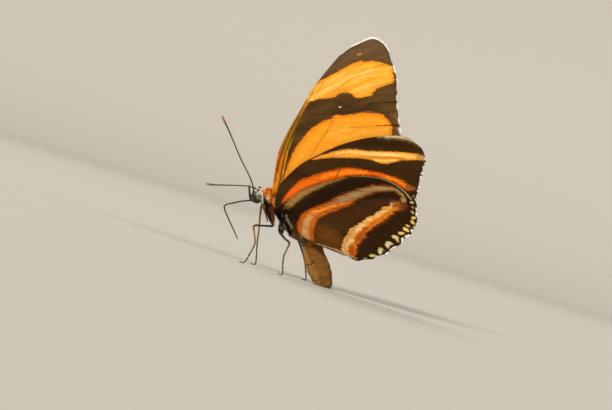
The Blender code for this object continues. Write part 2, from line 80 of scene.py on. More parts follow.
# The sheet of a wing, in millimetres: its steps, the strips beside its veins, and its edges. The
# pitch of its rows and the room that they leave are shares of a step.
SHEET_STEP = 0.36
CREASE_STEP = 0.6
VEIN_SIDE = 0.17
VEIN_REACH = 0.3
EDGE_CLEARANCE = 0.22
MARK_CLEARANCE = 0.08
ROW_PITCH = 0.866
CLEAR_OF_EDGE = 0.55
CLEAR_OF_VEIN = 0.4
RIM_REACH = 0.5
RIM_SHARE = 0.35
MEMBRANE_SAG = 0.05
SAG_REACH = 1.5
SCALLOP_DEPTH = 0.32
SCALLOP_PITCH = 3.5

# The fringe, in millimetres: the room left for it, its ribbon, its tufts, and its white spots and painted
# highlights.
FRINGE_ROOM = 0.3
MARGIN_REACH = 1.6
FRINGE_REACH = 1.2
FRINGE_BASE = 0.16
FRINGE_STEP = 0.12
FRINGE_LENGTH = 0.56
FRINGE_FADE = 1.5
SHORTEST_FRINGE = 0.35
SPOT_REACH = 0.75
SPOT_FADE = (0.05, 0.2)
WIDEST_SPOT = 1.4
FULL_WHITE = 0.5
FRINGE_DARK = "#2C1C0C"
FRINGE_WHITE = "#FFFDF6"
FRINGE_ACROSS = (0.1, 0.12)
LONGEST_MARGIN = 80.0

# Outlines, in millimetres from the hinge; the points that the outer margin runs between; and a
# point at the root.

FOREWING_OUTLINE = [
    (-1.4, 0.6), (-2.1, 3.2), (-2.8, 7.5), (-3.2, 12.1), (-2.5, 17.0), (-1.3, 22.2),
    (-0.1, 27.3), (1.9, 32.7), (4.5, 38.2), (7.2, 41.0), (9.7, 42.8), (12.2, 42.5),
    (14.1, 41.2), (15.8, 38.6), (18.1, 34.8), (19.2, 30.9), (20.8, 27.0), (22.3, 23.7),
    (23.2, 20.6), (22.0, 17.6), (16.3, 11.8), (10.5, 7.2), (4.7, 2.9), (0.7, 0.1),
]
FOREWING_MARGIN = (8, 19)
FOREWING_ROOT = (-0.5, 1.0)

HINDWING_OUTLINE = [
    (-0.5, -0.2), (-0.9, 2.8), (-0.5, 5.2), (2.3, 10.2), (6.0, 14.0), (9.7, 17.2),
    (13.7, 19.8), (17.9, 21.8), (22.2, 23.2), (25.8, 23.1), (28.1, 21.7), (29.6, 19.5),
    (29.9, 13.4), (30.2, 10.4), (31.5, 6.8), (31.8, 4.3), (30.6, 1.4), (28.9, -1.3),
    (26.3, -4.2), (23.5, -6.1), (21.2, -7.0), (19.4, -6.8), (16.9, -6.4), (12.0, -6.0),
    (9.8, -5.6), (7.5, -5.1), (5.7, -3.9), (3.8, -2.3),
]
HINDWING_MARGIN = (9, 21)
SCALLOPED = (11, 21)
HINDWING_ROOT = (2.3, -1.1)

# The lie of the scales: the place they fan from, the angle there that counts as nought, and the
# power of the distance and the factor by which they spread.
FOREWING_LIE = ((-3.6, 17.9), 0.3, 0.45, 5.2)
HINDWING_LIE = ((-3.9, 1.0), 0.1, 0.79, 1.9)

# The line along thorax and abdomen, beside which the wings stand wide.
BODY_LINE = [
    (-1.9, 1.0), (-0.6, 0.9), (0.9, 0.4), (2.4, -0.6), (3.6, -1.9), (4.5, -3.1),
    (5.2, -4.1), (6.8, -4.6), (8.8, -5.2), (10.6, -7.1), (12.0, -9.35), (13.2, -10.95),
    (14.2, -12.2), (14.85, -13.2), (15.5, -14.3), (15.9, -15.0),
]

# Veins, on the side view.
FORE_VEINS = [
    [(279, 197), (283, 168), (295, 133), (305, 117), (318, 107)],
    [(281, 199), (297, 168), (312, 146), (328, 130)],
    [(318, 107), (323, 112), (328, 117), (333, 121.5), (328, 130)],
    [(305, 117), (322, 90), (340, 60)], [(318, 107), (340, 72), (361, 44.5)],
    [(318, 107), (352, 66), (382, 44)], [(318, 107), (350, 78), (391, 60.5)],
    [(323, 112), (352, 90), (395, 76)], [(328, 117), (358, 98), (396, 92.5)],
    [(333, 121.5), (358, 106.5), (380, 102.4), (396.5, 102.3)],
    [(328, 130), (354, 126.8), (378, 125.6), (397.5, 125.4)],
    [(282, 199), (320, 170), (376, 149)],
]
HIND_VEINS = [
    [(282, 204), (300, 184), (317, 175), (330, 170), (347.9, 171.6)],
    [(283, 206), (300, 208), (332, 200), (346.3, 197.7)],
    [(347.9, 171.6), (347.5, 180), (347, 189), (346.3, 197.7)],
    [(300, 184), (330, 156), (372, 143), (416, 147)],
    [(330, 170), (352, 157.4), (390, 157.2), (422.5, 162)],
    [(347.9, 171.6), (376, 167), (420, 171)], [(347.5, 180), (376, 178.5), (417, 184.5)],
    [(347, 189), (380, 193), (414.5, 201)], [(346.3, 197.7), (375, 206), (413, 217)],
    [(332, 200), (365, 219), (402.5, 235)], [(300, 208), (338, 228), (387, 250)],
    [(286, 208), (294, 213), (316, 236), (368, 257)],
]


def strokes(*chains):
    """Strokes from point to point of some chains; each later point has the stroke's radius too."""
    return [
        (start[:2], (x, y), radius)
        for chain in chains for start, (x, y, radius) in zip(chain[:-1], chain[1:])
    ]


# Forewing pattern, on the side view: patches as outlines, and strokes as ends and a radius.
FORE_TIP = [
    (318, 80), (330, 66), (345, 52), (358, 44), (373, 38), (386, 45), (392, 60), (393, 65),
    (386, 63.5), (380, 61.5), (371, 61), (364, 61), (356, 62.5), (348, 66), (340, 70), (328, 75),
]
FORE_COSTAL_STRIP = [
    (312, 97), (306, 108), (301, 118), (296, 129), (292, 138), (289, 147), (286, 156), (283.5, 168),
    (281, 180), (277, 193), (266, 194), (266, 170), (274, 150), (285, 125), (297, 104), (305, 90),
]
FORE_COSTAL_BASE = [(286, 154), (284, 166), (281, 180), (277, 194), (266, 194), (266, 172), (272, 154)]
FORE_ORANGE = [
    (393, 128), (391, 124), (389, 120.5), (386, 118), (384, 115.5), (380, 113.5), (372, 112.5),
    (362, 113), (352, 114), (345, 115), (336, 115), (331, 118), (325, 120.5), (318, 124),
    (312, 128), (307, 133), (303, 138), (299, 143), (295, 149), (291, 157), (287.5, 166),
    (284, 176), (280, 187), (276, 195), (279, 203), (300, 190), (340, 165), (378, 152),
    (389, 140), (392.5, 134),
]
FORE_YELLOW = [
    (321, 80), (330, 75.5), (340, 70), (348, 65.5), (356, 62), (364, 61), (371, 61), (378, 61.8),
    (384, 63.5), (391, 65.5), (393.5, 73), (394, 82), (388, 84.5), (383, 86), (377, 88.5),
    (375.5, 91.5), (371, 95), (365, 96.5), (358, 97.5), (352, 94.5), (346, 92), (341, 93),
    (336, 96), (330, 97.8), (320, 98.5), (307, 102), (309, 94), (315, 85),
]
FORE_YELLOW_PALE = strokes(
    [(311, 98), (330, 88.5, 2.6), (350, 77, 2.4), (374, 69, 2.0), (390, 68, 1.5)],
    [(346, 84), (366, 76.5, 1.8), (388, 74, 1.2)],
    [(352, 90), (368, 86, 2.2), (390, 80.5, 1.4)],
    [(328, 82), (344, 73, 1.2)],
    [(316, 90), (326, 83, 1.0)],
)
FORE_ORANGE_PALE = strokes(
    [(330, 134), (350, 128, 2.4)],
    [(338, 140), (362, 132.6, 1.6), (388, 129.6, 1.4)],
)
FORE_BROWN_BORDER = [
    (389, 110), (396, 110), (403, 112), (405, 138), (396, 140), (392.6, 137), (392.4, 130), (394, 124),
    (391.5, 119), (388.6, 114),
]
FORE_COSTAL_LINES = strokes(
    [(313, 93), (306, 103, 0.3), (298, 117, 0.5), (290.5, 131, 0.6), (284, 146, 0.6),
     (279.3, 160, 0.7), (276.6, 172, 0.8), (275.4, 182, 0.5)],
    [(303.5, 112), (294.5, 130, 0.5), (288, 146, 0.5), (283.8, 160, 0.5), (281, 176, 0.7),
     (279, 188, 0.4)],
    [(290, 149), (286.4, 160, 0.4), (283.6, 176, 0.4), (281.6, 186, 0.3)],
)
FORE_GOLD_LINES = strokes(
    [(309, 99), (304.4, 107, 0.7), (300, 115, 0.4)],
    [(292.4, 139), (287.6, 151, 0.4), (284.8, 163, 0.7), (282.2, 177, 0.7), (280.4, 186, 0.4)],
    [(278, 174), (275.6, 190, 0.7)],
    [(273, 176), (271.4, 190, 0.6)],
)
FORE_FLECK = [((357.5, 54.5), (361, 53.5), 0.9)]
FORE_SPECK = [((339.5, 107), (340.5, 107), 1.0)]
FORE_DARK_LINES = strokes(
    [(368, 103.5), (385, 102, 0.6), (398, 102.2, 0.9)],
    [(383, 125.3), (392, 125, 0.5), (399, 125.3, 0.9)],
    [(376, 125.6), (383, 125.3, 0.3)],
)
FORE_ORANGE_LINES = strokes(
    [(350, 127.2), (372, 125.8, 0.4), (392, 125, 0.6)],
)
FORE_FAINT_LINES = strokes(
    [(333, 120), (326, 133, 0.7), (319, 143, 0.6), (310, 157, 0.6)],
    [(324, 82), (314, 99, 0.5)],
)
FORE_WARM_STREAKS = strokes(
    [(346, 91), (352, 88.4, 1.0), (361, 83, 1.0), (376, 78.4, 0.9), (391, 75.6, 0.6)],
    [(326, 95), (338, 88, 0.5), (350, 80, 0.4)],
    [(372, 88), (386, 83.6, 0.8)],
)
FORE_WHITE_SPOTS_AND_APEX_HIGHLIGHT = strokes(
    # The first chain, along the apex, is white fringe with a painted highlight where the light catches
    # the edge; the rest are white spots.
    [(345.5, 50.5), (352, 46, 0.35), (360, 42, 0.5), (368, 38.8, 0.7), (373, 37.8, 0.9),
     (378, 38.6, 1.0), (383, 41.6, 1.0), (387, 45.2, 0.9), (389.5, 50, 0.5), (393, 62, 0.35)],
    [(393.6, 65.5), (396, 72, 1.2)],
    [(397, 79), (399, 84, 1.2)],
    [(398.2, 85.5), (398.4, 90, 1.2)],
    [(398, 95.5), (398.8, 100, 1.2)],
    [(398.4, 104), (398.8, 108.5, 1.2)],
    [(399, 117.5), (399.6, 123, 1.2)],
    [(399.6, 128), (401, 134.5, 1.4)],
)

# Hindwing pattern.
HIND_INNER_DARK = [
    (283, 217), (287, 213), (300, 202), (320, 190), (340, 181.5), (352, 178), (370, 177.5),
    (384, 180), (396, 186), (403, 196), (397, 199), (382, 199), (366, 201), (350, 206),
    (334, 212), (318, 219), (300, 226),
]
HIND_OUTER_DARK = [
    (404, 203), (396, 210), (386, 217), (376, 224), (366, 232), (360, 243), (354, 258),
    (366, 262), (384, 257), (402, 243), (416, 226), (420, 208), (412, 200),
]
HIND_BROWN = [
    (319, 217), (330, 212), (345, 207), (360, 203), (376, 200), (394, 199), (386, 206), (378, 212),
    (368, 218), (356, 225), (350, 230), (345, 241), (341, 252), (328, 248), (316, 242), (315, 228),
]
HIND_GOLDEN = [(316, 226), (326, 224), (338, 230), (343, 240), (340, 252), (326, 248), (315, 242)]
# Painted highlight: the hindwing's costal edge, drawn pale tan where the light catches it.
HIND_LIT_COSTAL_RIM = strokes(
    [(378, 137), (386, 136.6, 1.2), (396, 136.8, 2.4), (404, 138, 2.4), (412, 140.6, 2.1),
     (418, 143.6, 1.8), (421, 146.5, 1.2)],
)
HIND_YELLOW = [
    (312, 160), (318, 156.5), (330, 152.5), (340, 150), (350, 149), (370, 150.6), (390, 151.4),
    (405, 152.2), (415, 154), (425, 157), (425, 160), (412, 159.8), (400, 160.6), (394, 162.6),
    (386, 164), (380, 163.2), (374, 160.6), (365, 158.4), (350, 158), (330, 157.8),
]
HIND_YELLOW_LINES = strokes(
    [(316, 158), (330, 156.6, 0.5), (352, 157.2, 0.5), (372, 157.8, 0.6), (390, 158, 0.7),
     (404, 158.8, 0.6)],
)
HIND_YELLOW_PALE = strokes(
    [(336, 153), (350, 151.8, 1.3), (372, 153.8, 1.8), (394, 154.8, 1.9), (412, 156.6, 1.5),
     (424, 158.2, 1.0)],
    [(375, 160), (386, 161, 1.2), (396, 160, 0.9)],
)
HIND_YELLOW_END = [((418.6, 157.2), (426, 158.6), 2.3)]
HIND_ORANGE = [
    (281, 203), (290, 190), (300, 181), (310, 176.5), (320, 173), (330, 170.5), (340, 168.5),
    (350, 168), (360, 169), (370, 171), (380, 172.6), (390, 176), (400, 179.5), (406, 183),
    (411, 187), (414, 190), (408, 191), (404, 188.6), (398, 185), (390, 180.6), (380, 177.2),
    (370, 175.6), (360, 175), (350, 175.8), (340, 177.5), (330, 180), (320, 183), (310, 186.5),
    (300, 191), (290, 198), (284, 203),
]
HIND_ORANGE_PALE = strokes(
    [(322, 177), (338, 172.8, 1.8), (352, 171.6, 2.0), (366, 172.4, 1.4)],
    [(386, 177.2), (396, 181, 1.2), (405, 185.6, 1.4)],
)
HIND_TAN_END = [(405.5, 184.5), (411, 185.5), (416, 187.6), (415, 191), (410, 190.4), (405, 187.6)]
HIND_CORNER_DARK = [
    (408.4, 191), (413, 191.2), (417, 190.4), (416.6, 196), (414, 200.2), (410.6, 199.4), (408.2, 195),
]
HIND_GREY = [
    (281.5, 214), (284, 205), (289, 199), (300, 191), (310, 186.5), (320, 183), (330, 180),
    (340, 177.8), (351, 176.2), (340, 180.2), (330, 184), (320, 188.4), (310, 193.2),
    (300, 200), (291, 208), (286.5, 213.6), (283.5, 217.5),
]
HIND_GREY_LINES = strokes(
    [(351, 176.6), (366, 176.4, 0.3), (381, 178.6, 0.4), (390, 181.8, 0.6), (396.5, 185.4, 0.7),
     (401, 188.8, 0.8), (405.4, 192.8, 0.9), (409, 197, 0.9), (411.6, 200.4, 0.7)],
    [(412.6, 197), (414.2, 195.8, 0.6)],
)
HIND_LOOP = [
    (407, 199), (405, 194), (401, 190), (395, 186.8), (385, 185), (375, 185.5), (365, 187),
    (355, 190), (345, 193.5), (335, 197.5), (325, 203.5), (315, 207.5), (307, 211.5), (301, 216),
    (297.8, 222), (297.5, 229), (299, 236), (306, 240), (313.5, 242), (314.5, 235), (314.5, 228),
    (317, 220.5), (322, 215.5), (330, 212.2), (340, 208.5), (350, 204.5), (356, 201), (365, 196.5),
    (375, 193), (385, 191.6), (395, 192), (400, 195), (402, 199.5),
]
HIND_LOOP_GREY = [
    (326, 204.8), (336, 199.5), (346, 194.3), (356, 190.6), (366, 188.2), (376, 186.6), (386, 186.2),
    (395, 187.8), (401, 191), (405, 196.4), (406.4, 201), (405, 203.8), (401, 203.4), (400.4, 198.8),
    (401.4, 196.6), (399.5, 194), (394, 191.4), (386, 190.8), (376, 191.6), (366, 194.4),
    (356, 198.6), (348, 201.6), (338, 204.6), (330, 206.6),
]
HIND_LOOP_PINK = [((338, 201.2), (350, 197), 1.9), ((391, 202.8), (400, 202.8), 0.8)]
HIND_LOOP_CREAM = [
    (304, 218), (308, 215), (314, 213), (320, 211.5), (316.5, 216), (312, 220), (310, 227),
    (309.6, 233), (311, 241), (306, 240.5), (300.5, 237), (300.8, 230), (301.5, 223),
]
HIND_LOOP_RED = strokes(
    [(299.6, 233), (299.6, 223, 1.4), (303, 216.2, 1.5), (309, 211.4, 1.6), (316, 208.4, 1.7),
     (326, 205, 1.5), (338, 201, 1.0)],
    [(318.6, 216.4), (314.3, 220.4, 1.5), (312.2, 227, 1.7), (311.9, 238, 1.5)],
    [(318.6, 216.4), (328, 212, 1.5), (340, 207.8, 1.3), (348, 205, 0.8), (354, 202.6, 0.4)],
)
HIND_LOOP_BRIGHT = strokes(
    [(308, 215), (314, 212, 1.0), (320, 210.4, 1.5), (328, 208, 1.5), (336, 205.6, 1.2),
     (344, 203.8, 0.8), (351, 202.4, 0.4)],
)
HIND_THIRD_GLOW = [
    (409, 205.5), (402, 203), (392, 204), (380, 212), (366, 220), (354, 229), (346, 242),
    (344, 252), (350, 259), (356, 257), (359, 247), (366, 239), (370, 232), (380, 226),
    (388, 220), (398, 213), (406, 209),
]
HIND_THIRD = [
    (400.6, 204.4), (396, 203.6), (392, 203.8), (386, 206.2), (380, 210.2), (373, 214.6),
    (366, 218.6), (358, 223.6), (350.6, 228.8), (346.8, 234.4), (343.2, 241.6), (341, 247),
    (342, 251.5), (348, 256.5), (354, 257), (355, 250), (357.5, 243), (362, 238.5), (364.5, 232),
    (373, 225.6), (382, 219.6), (390, 213.8), (395, 210), (400, 207.4),
]
HIND_THIRD_END = [((393.6, 206.4), (399.6, 205.4), 1.9)]
HIND_THIRD_PALE = strokes(
    [(347, 254), (344.4, 246, 1.8), (347, 238.4, 1.9), (350.6, 232, 1.9), (356, 227, 1.5)],
)
HIND_THIRD_BLOBS = [
    ((397.6, 207.2), (390.6, 211.4), 1.9), ((389.4, 212.6), (382.6, 216.8), 2.3),
    ((381.4, 218), (373.4, 222.8), 2.5), ((372, 224.2), (365.4, 229.2), 2.5),
]
HIND_THIRD_RUST = [
    ((357.6, 239), (361.8, 233.6), 3.6), ((363, 231.6), (367, 227.6), 2.4),
    ((351.4, 247.4), (351.8, 253.8), 3.9), ((354.6, 244), (357, 241.4), 1.7),
]
HIND_BLACK_LINES = strokes(
    [(366, 178), (384, 181, 0.3), (394, 185.4, 0.5), (400, 189.8, 0.7), (405, 194.6, 0.8),
     (407.8, 200, 0.8), (409.4, 204.6, 0.9), (410.4, 209, 0.7)],
    [(401.4, 187.6), (406.6, 191.4, 0.35), (410.6, 196.8, 0.4)],
    [(410.6, 200.6), (414.4, 200.4, 0.5)],
)
HIND_DARK_LINES = strokes(
    [(341, 167.5), (337.5, 174, 0.6), (334, 181, 0.5)],
)
HIND_INNER_RIM = strokes(
    [(299.5, 236), (304, 239.2, 1.0), (312, 242.4, 0.9), (322, 245.4, 0.5), (336, 249.8, 0.6),
     (346, 254.4, 0.8), (357, 259, 0.6)],
)
HIND_PALE_SPOTS = [
    [(362, 259.6), (364.4, 257.6), (367, 257.8), (366.4, 259.6), (363.4, 261.4)],
    [(368.6, 255), (371.4, 254.2), (375.6, 254.8), (378.6, 256.6), (375, 257.2), (370.4, 257)],
    [(377.6, 250.2), (378.8, 247.6), (381.8, 247.7), (385.4, 251.2), (382.8, 251), (382, 252.8),
     (382.2, 257), (380, 255), (378.2, 252.6)],
    [(384.5, 244.6), (386, 241.8), (390, 241.6), (394.6, 245), (391, 245), (389.4, 246.6),
     (388.8, 249.2), (386.6, 247.4), (385, 246.2)],
    [(391, 236.2), (393, 234.7), (396.6, 235.2), (398.8, 237.2), (399, 240), (399.8, 243.6), (397, 241.8),
     (395, 239.2), (392.6, 238.4)],
    [(411, 206.2), (413.4, 206.4), (414.8, 208.6), (413, 209.4), (411.4, 208)],
    [(410.6, 210.4), (413, 211), (415.4, 214), (413.8, 214.6), (411.4, 212.8)],
    [(409.6, 201.6), (412, 201.2), (415, 202.4), (413, 203.8), (410, 203.4)],
]
HIND_GOLD_SPOTS = [
    [(397.4, 233), (399.4, 231.6), (403, 231.8), (405.4, 233.2), (402.8, 235), (399.4, 235)],
    [(402.6, 227.4), (404.6, 226.8), (407.6, 228.4), (409.6, 231.6), (408.2, 232.2),
     (405.4, 231), (403, 229.4)],
    [(405.4, 224.8), (407.4, 224.4), (410.6, 226.4), (409.4, 227.4), (406.6, 226.4)],
    [(410, 220.6), (412.4, 220.4), (415.6, 224.4), (414.4, 225), (411.4, 223.2)],
    [(411, 217), (413.4, 216.2), (416.6, 217.2), (415, 219.4), (411.8, 219.2)],
]
HIND_WHITE_SPOTS_AND_EDGE_HIGHLIGHT = [
    # The first, on the costal edge, is a painted highlight; the rest are white spots along the margin.
    ((414.6, 140.8), (420.6, 145.2), 0.35), ((376, 259.6), (379, 258.8), 0.8),
    ((385.8, 256.2), (388.6, 253.4), 1.3), ((391, 250.4), (396, 248), 1.2),
    ((402.4, 238.6), (402.4, 242.4), 1.3), ((405.4, 236.6), (409.6, 235.2), 1.2),
    ((411.6, 230.2), (413.2, 232.6), 1.3), ((413.8, 227.3), (414.5, 227.3), 1.1),
    ((417.9, 224), (418.2, 225), 1.3), ((418, 220.6), (418.3, 221.4), 1.3),
    ((417, 212.6), (418.5, 215.2), 1.3), ((416.4, 208.4), (417.4, 210.6), 1.3),
    ((416.8, 199.2), (416.9, 200), 1.2), ((418, 190.2), (418.6, 193), 1.2),
    ((419.5, 187.2), (419.6, 188), 1.6), ((421, 177), (421.2, 181), 1.4),
    ((422.3, 173), (422.4, 174), 1.6), ((424.3, 167), (424.6, 168), 1.3),
    ((425.9, 164.2), (426, 165), 1.3), ((425.4, 158), (425.6, 159.2), 1.6),
]

# Body, in millimetres from the hinge. The solids are grown before they are joined into one skin.
BODY_GROWTH = 0.17
BODY_SETTLE = 0.6
BODY_VOXEL = 0.13
SKIN_EASE = 0.5
SKIN_EASES = 6
MERGE_WITHIN = 0.002
# The abdomen begins at a share of the run along the body's line, and is ringed by grooves.
ABDOMEN_FROM = 0.46
SEGMENTS = 8
SEGMENT_GROOVE = 0.08
GROOVE_SHARE = 0.1
GROOVE_SHADE = 0.3
FIRST_GROOVE = (0.6, 1.0)
BODY_FILLERS = [
    ((-4.1, 0.0, 1.05), (0.75, 0.85, 1.0)), ((5.1, 0.0, -3.95), (1.0, 1.2, 1.25)),
    ((-5.9, 0.0, 0.1), (0.6, 0.55, 0.8)),
]
# Where one coat gives way to the next: from and to, along the body and along its run.
HEAD_END = -3.9
HEAD_FADE = (-0.2, 0.3)
THORAX_END = 4.9
THORAX_FADE = (-0.8, 2.5)
FACE_FADE = (5.2, 6.0)
TIP_FADE = (0.93, 0.98)
FACE_LINE = [(-6.6, 1.3), (-4.85, 1.05)]
EYE_AT = (-4.95, 1.05, 0.35)
EYE_RADII = (1.16, 0.93, 1.46)
EYE_MARGIN = 1.08
# Hair, in millimetres: its length on the thorax, and how much it differs elsewhere.
THORAX_HAIR = 0.8
LESS_ON_HEAD = 0.56
LESS_ON_FACE = 0.5
LESS_ON_ABDOMEN = 0.48
MORE_AT_TIP = 0.35
HAIR_LIFT = 0.5
LESS_LIFT = 0.34
LEAST_FLAT = 0.15
BARE_ABOVE_GROUND = 0.05

# Marks on body and legs, on the side view: ends, radius and softness in pixels, and a colour.
BODY_MARKS = [
    ((300, 232), (318, 262), 22.0, 3.0, "#A06A24"),
    ((318, 262), (330, 287), 16.0, 3.0, "#966220"),
    ((322, 240), (334, 268), 7.0, 7.0, "#8A561C"),
    ((334, 268), (335, 284), 6.0, 6.0, "#744616"),
    ((301, 240), (306, 262), 3.2, 5.0, "#CC9A54"),
    ((306, 262), (316, 281), 3.6, 5.0, "#B88844"),
    ((307, 245), (309, 252), 2.4, 3.0, "#A0641C"),
    ((305.5, 266.6), (313, 264.6), 0.9, 1.0, "#C8A468"),
    ((307.5, 264.8), (311, 264.2), 0.6, 0.7, "#3A2208"),
    ((311, 264.2), (314.5, 260.6), 0.6, 0.7, "#3A2208"),
    ((310, 273.4), (318, 271.4), 0.9, 1.2, "#BC9450"),
    ((322, 286.6), (331.6, 284.6), 2.0, 3.0, "#80703C"),
    ((281, 210), (287, 229), 6.4, 2.4, "#1A120A"),
    ((294, 224), (303, 242), 4.2, 3.0, "#7C5C2A"),
    ((296.5, 226), (301, 238), 1.1, 1.5, "#B8A070"),
    ((286, 214.4), (287, 215.6), 1.2, 0.5, "#E6DDBE"),
    ((287.8, 218.4), (288.8, 220.8), 1.1, 0.6, "#CFC5A0"),
    ((290, 222.4), (291.4, 226), 1.3, 0.7, "#C4BA94"),
    ((288.4, 217), (290, 217.4), 0.5, 0.4, "#17110A"),
    ((281.2, 226.8), (281.9, 228.2), 0.6, 0.5, "#A89C74"),
    ((283.4, 229.6), (284.2, 230.8), 0.5, 0.5, "#A89C74"),
    ((281.4, 212.6), (282.2, 214.4), 0.7, 0.8, "#8C8058"),
    ((285.2, 225.4), (286, 227.8), 0.7, 0.8, "#A49870"),
    ((268.6, 194), (272.4, 204.4), 3.6, 2.4, "#FFA428"),
    ((270, 196.6), (271.8, 203), 2.0, 1.4, "#FFB43C"),
    ((268.2, 190.6), (269.4, 192), 1.9, 2.0, "#F46E1A"),
    ((263, 187.5), (265, 193.8), 1.6, 1.0, "#F89C2C"),
    ((263.4, 195.4), (264.4, 200.6), 1.2, 0.8, "#221A0C"),
    ((266.6, 196.9), (266.7, 197.7), 0.9, 0.4, "#FFFCF0"),
    ((263.2, 204), (265.2, 209.5), 0.7, 0.5, "#D9C68E"),
    ((271, 206.6), (277, 208.4), 1.9, 1.6, "#4A1C08"),
    ((261.7, 192.6), (261.6, 201), 1.0, 0.4, "#FBF6E0"),
    ((256.8, 187.2), (256.9, 187.5), 1.2, 0.4, "#F6F0D6"),
    ((255.6, 190.1), (255.7, 190.4), 1.1, 0.4, "#EFE8C8"),
    ((261.2, 185.7), (261.3, 186), 1.0, 0.4, "#F6F0D6"),
    ((260.9, 189.4), (261.2, 189.8), 1.3, 0.4, "#FBF6E4"),
    ((259.9, 191.6), (260.2, 192), 1.2, 0.4, "#FBF6E4"),
    ((258.6, 188.6), (258.9, 189), 0.9, 0.4, "#D8D0A8"),
]
BODY_GROUND = "#16110A"
PALP_MARKS = [((250.4, 190), (252.2, 199.6), 0.6, 0.7, "#B4A66A")]
COXA_MARKS = [((271.8, 206.6), (274.4, 223), 1.9, 1.6, "#7E3C14")]
HIP_MARKS = [
    ((287.8, 218.4), (288.8, 220.8), 1.1, 0.6, "#CFC5A0"),
    ((290, 222.4), (291.4, 226), 1.3, 0.7, "#C4BA94"),
    ((284.9, 224.6), (285.7, 227.6), 0.6, 0.4, "#A49870"),
    ((281.6, 226.4), (282.2, 228.4), 0.6, 0.4, "#A89C74"),
    ((283.6, 229), (284.2, 230.6), 0.5, 0.4, "#A89C74"),
    ((286.6, 229.6), (288, 231), 0.5, 0.4, "#8C8058"),
    ((280.6, 221.6), (281, 223.2), 0.5, 0.4, "#6E6444"),
]

LEG_MARKS = {"midleg": COXA_MARKS, "hindleg": HIP_MARKS}

# Feelers, mouthparts and legs, as points in millimetres from the hinge: x, y, z, radius, and tone
# from black, 0, over brown, 0.5, to orange brown, 1.
ANTENNA_NEAR = [
    (-5.1, -0.45, 1.2, 0.24, 0.0), (-5.5, -0.5, 1.5, 0.22, 0.0), (-6.2, -0.6, 2.1, 0.16, 0.05),
    (-7.8, -1.1, 4.3, 0.14, 0.1), (-10.9, -2.0, 7.6, 0.14, 0.15), (-14.3, -2.9, 11.7, 0.15, 0.2),
    (-16.2, -3.5, 13.9, 0.19, 0.4), (-17.0, -3.7, 14.8, 0.28, 0.9), (-17.75, -3.9, 15.65, 0.2, 1.0),
]
ANTENNA_FAR = [
    (-5.1, 0.45, 1.2, 0.24, 0.0), (-5.5, 0.6, 1.5, 0.22, 0.0), (-6.1, 0.9, 2.0, 0.16, 0.05),
    (-7.5, 2.2, 2.2, 0.14, 0.1), (-10.2, 4.9, 1.6, 0.14, 0.15), (-13.2, 8.2, 0.8, 0.15, 0.2),
    (-15.6, 11.0, 0.15, 0.19, 0.4), (-16.5, 12.0, 0.0, 0.28, 0.9), (-17.35, 12.95, -0.1, 0.2, 1.0),
]
PALP = [
    (-5.3, -0.6, -0.35, 0.24, 0.3), (-5.8, -0.8, -0.7, 0.25, 0.2), (-6.45, -0.8, 0.1, 0.25, 0.1),
    (-7.0, -0.7, 1.35, 0.21, 0.1), (-7.4, -0.65, 2.4, 0.1, 0.2),
]
PROBOSCIS = [
    (-5.2, 0.0, -0.2, 0.2, 0.0), (-6.3, 0.0, -0.8, 0.19, 0.0), (-7.9, 0.0, -1.5, 0.18, 0.0),
    (-9.9, 0.0, -2.55, 0.17, 0.0), (-11.05, 0.0, -3.25, 0.17, 0.0), (-11.4, 0.0, -3.9, 0.17, 0.0),
    (-10.9, 0.0, -4.8, 0.16, 0.0), (-9.2, 0.0, -6.8, 0.15, 0.05), (-7.5, 0.0, -8.7, 0.14, 0.1),
    (-6.4, 0.0, -10.0, 0.1, 0.2),
]
FORELEG = [
    (-2.6, -0.5, 0.6, 0.3, 0.4), (-3.2, -0.55, -0.9, 0.26, 0.8), (-2.1, -0.6, -2.4, 0.19, 0.6),
    (-1.0, -0.65, -4.2, 0.12, 0.5),
]
MIDLEG_LEFT = [
    (-1.7, -0.9, 0.3, 0.8, 0.0), (-1.4, -1.25, -1.0, 0.86, 0.0), (-0.65, -1.5, -2.6, 0.72, 0.0),
    (0.15, -1.9, -4.0, 0.42, 0.0), (0.35, -2.3, -4.85, 0.27, 0.0), (-1.6, -3.8, -5.4, 0.21, 0.0),
    (-3.5, -5.0, -6.0, 0.24, 0.45), (-3.0, -5.3, -7.6, 0.2, 0.95), (-2.2, -5.7, -9.7, 0.18, 0.7),
    (-2.6, -6.1, -12.3, 0.14, 0.4), (-3.2, -6.4, -14.5, 0.13, 0.3), (-4.2, -6.5, -14.8, 0.11, 0.3),
]
MIDLEG_RIGHT = [
    (-1.7, 0.9, 0.3, 0.8, 0.0), (-1.3, 1.3, -0.9, 0.8, 0.0), (-1.2, 1.9, -2.3, 0.5, 0.1),
    (-2.2, 2.7, -1.6, 0.3, 0.2), (-3.35, 3.6, -0.9, 0.25, 0.5), (-3.1, 4.1, -3.3, 0.21, 0.9),
    (-2.4, 4.6, -6.6, 0.19, 0.9), (-1.9, 5.1, -9.6, 0.16, 0.5), (-1.2, 5.6, -12.6, 0.13, 0.3),
    (-0.9, 5.9, -14.5, 0.13, 0.3), (-1.8, 6.1, -14.8, 0.11, 0.3),
]
HINDLEG_LEFT = [
    (3.2, -0.9, -1.9, 0.8, 0.0), (2.7, -1.4, -3.4, 0.86, 0.0), (2.6, -2.0, -5.0, 0.62, 0.0),
    (2.9, -2.6, -6.0, 0.34, 0.1), (4.0, -3.4, -6.8, 0.24, 0.3), (5.2, -4.2, -7.4, 0.25, 0.5),
    (5.1, -4.8, -9.0, 0.2, 0.75), (4.9, -5.4, -10.7, 0.18, 0.6), (5.3, -5.9, -12.8, 0.14, 0.4),
    (5.8, -6.3, -14.5, 0.13, 0.3), (5.0, -6.6, -14.8, 0.11, 0.3),
]
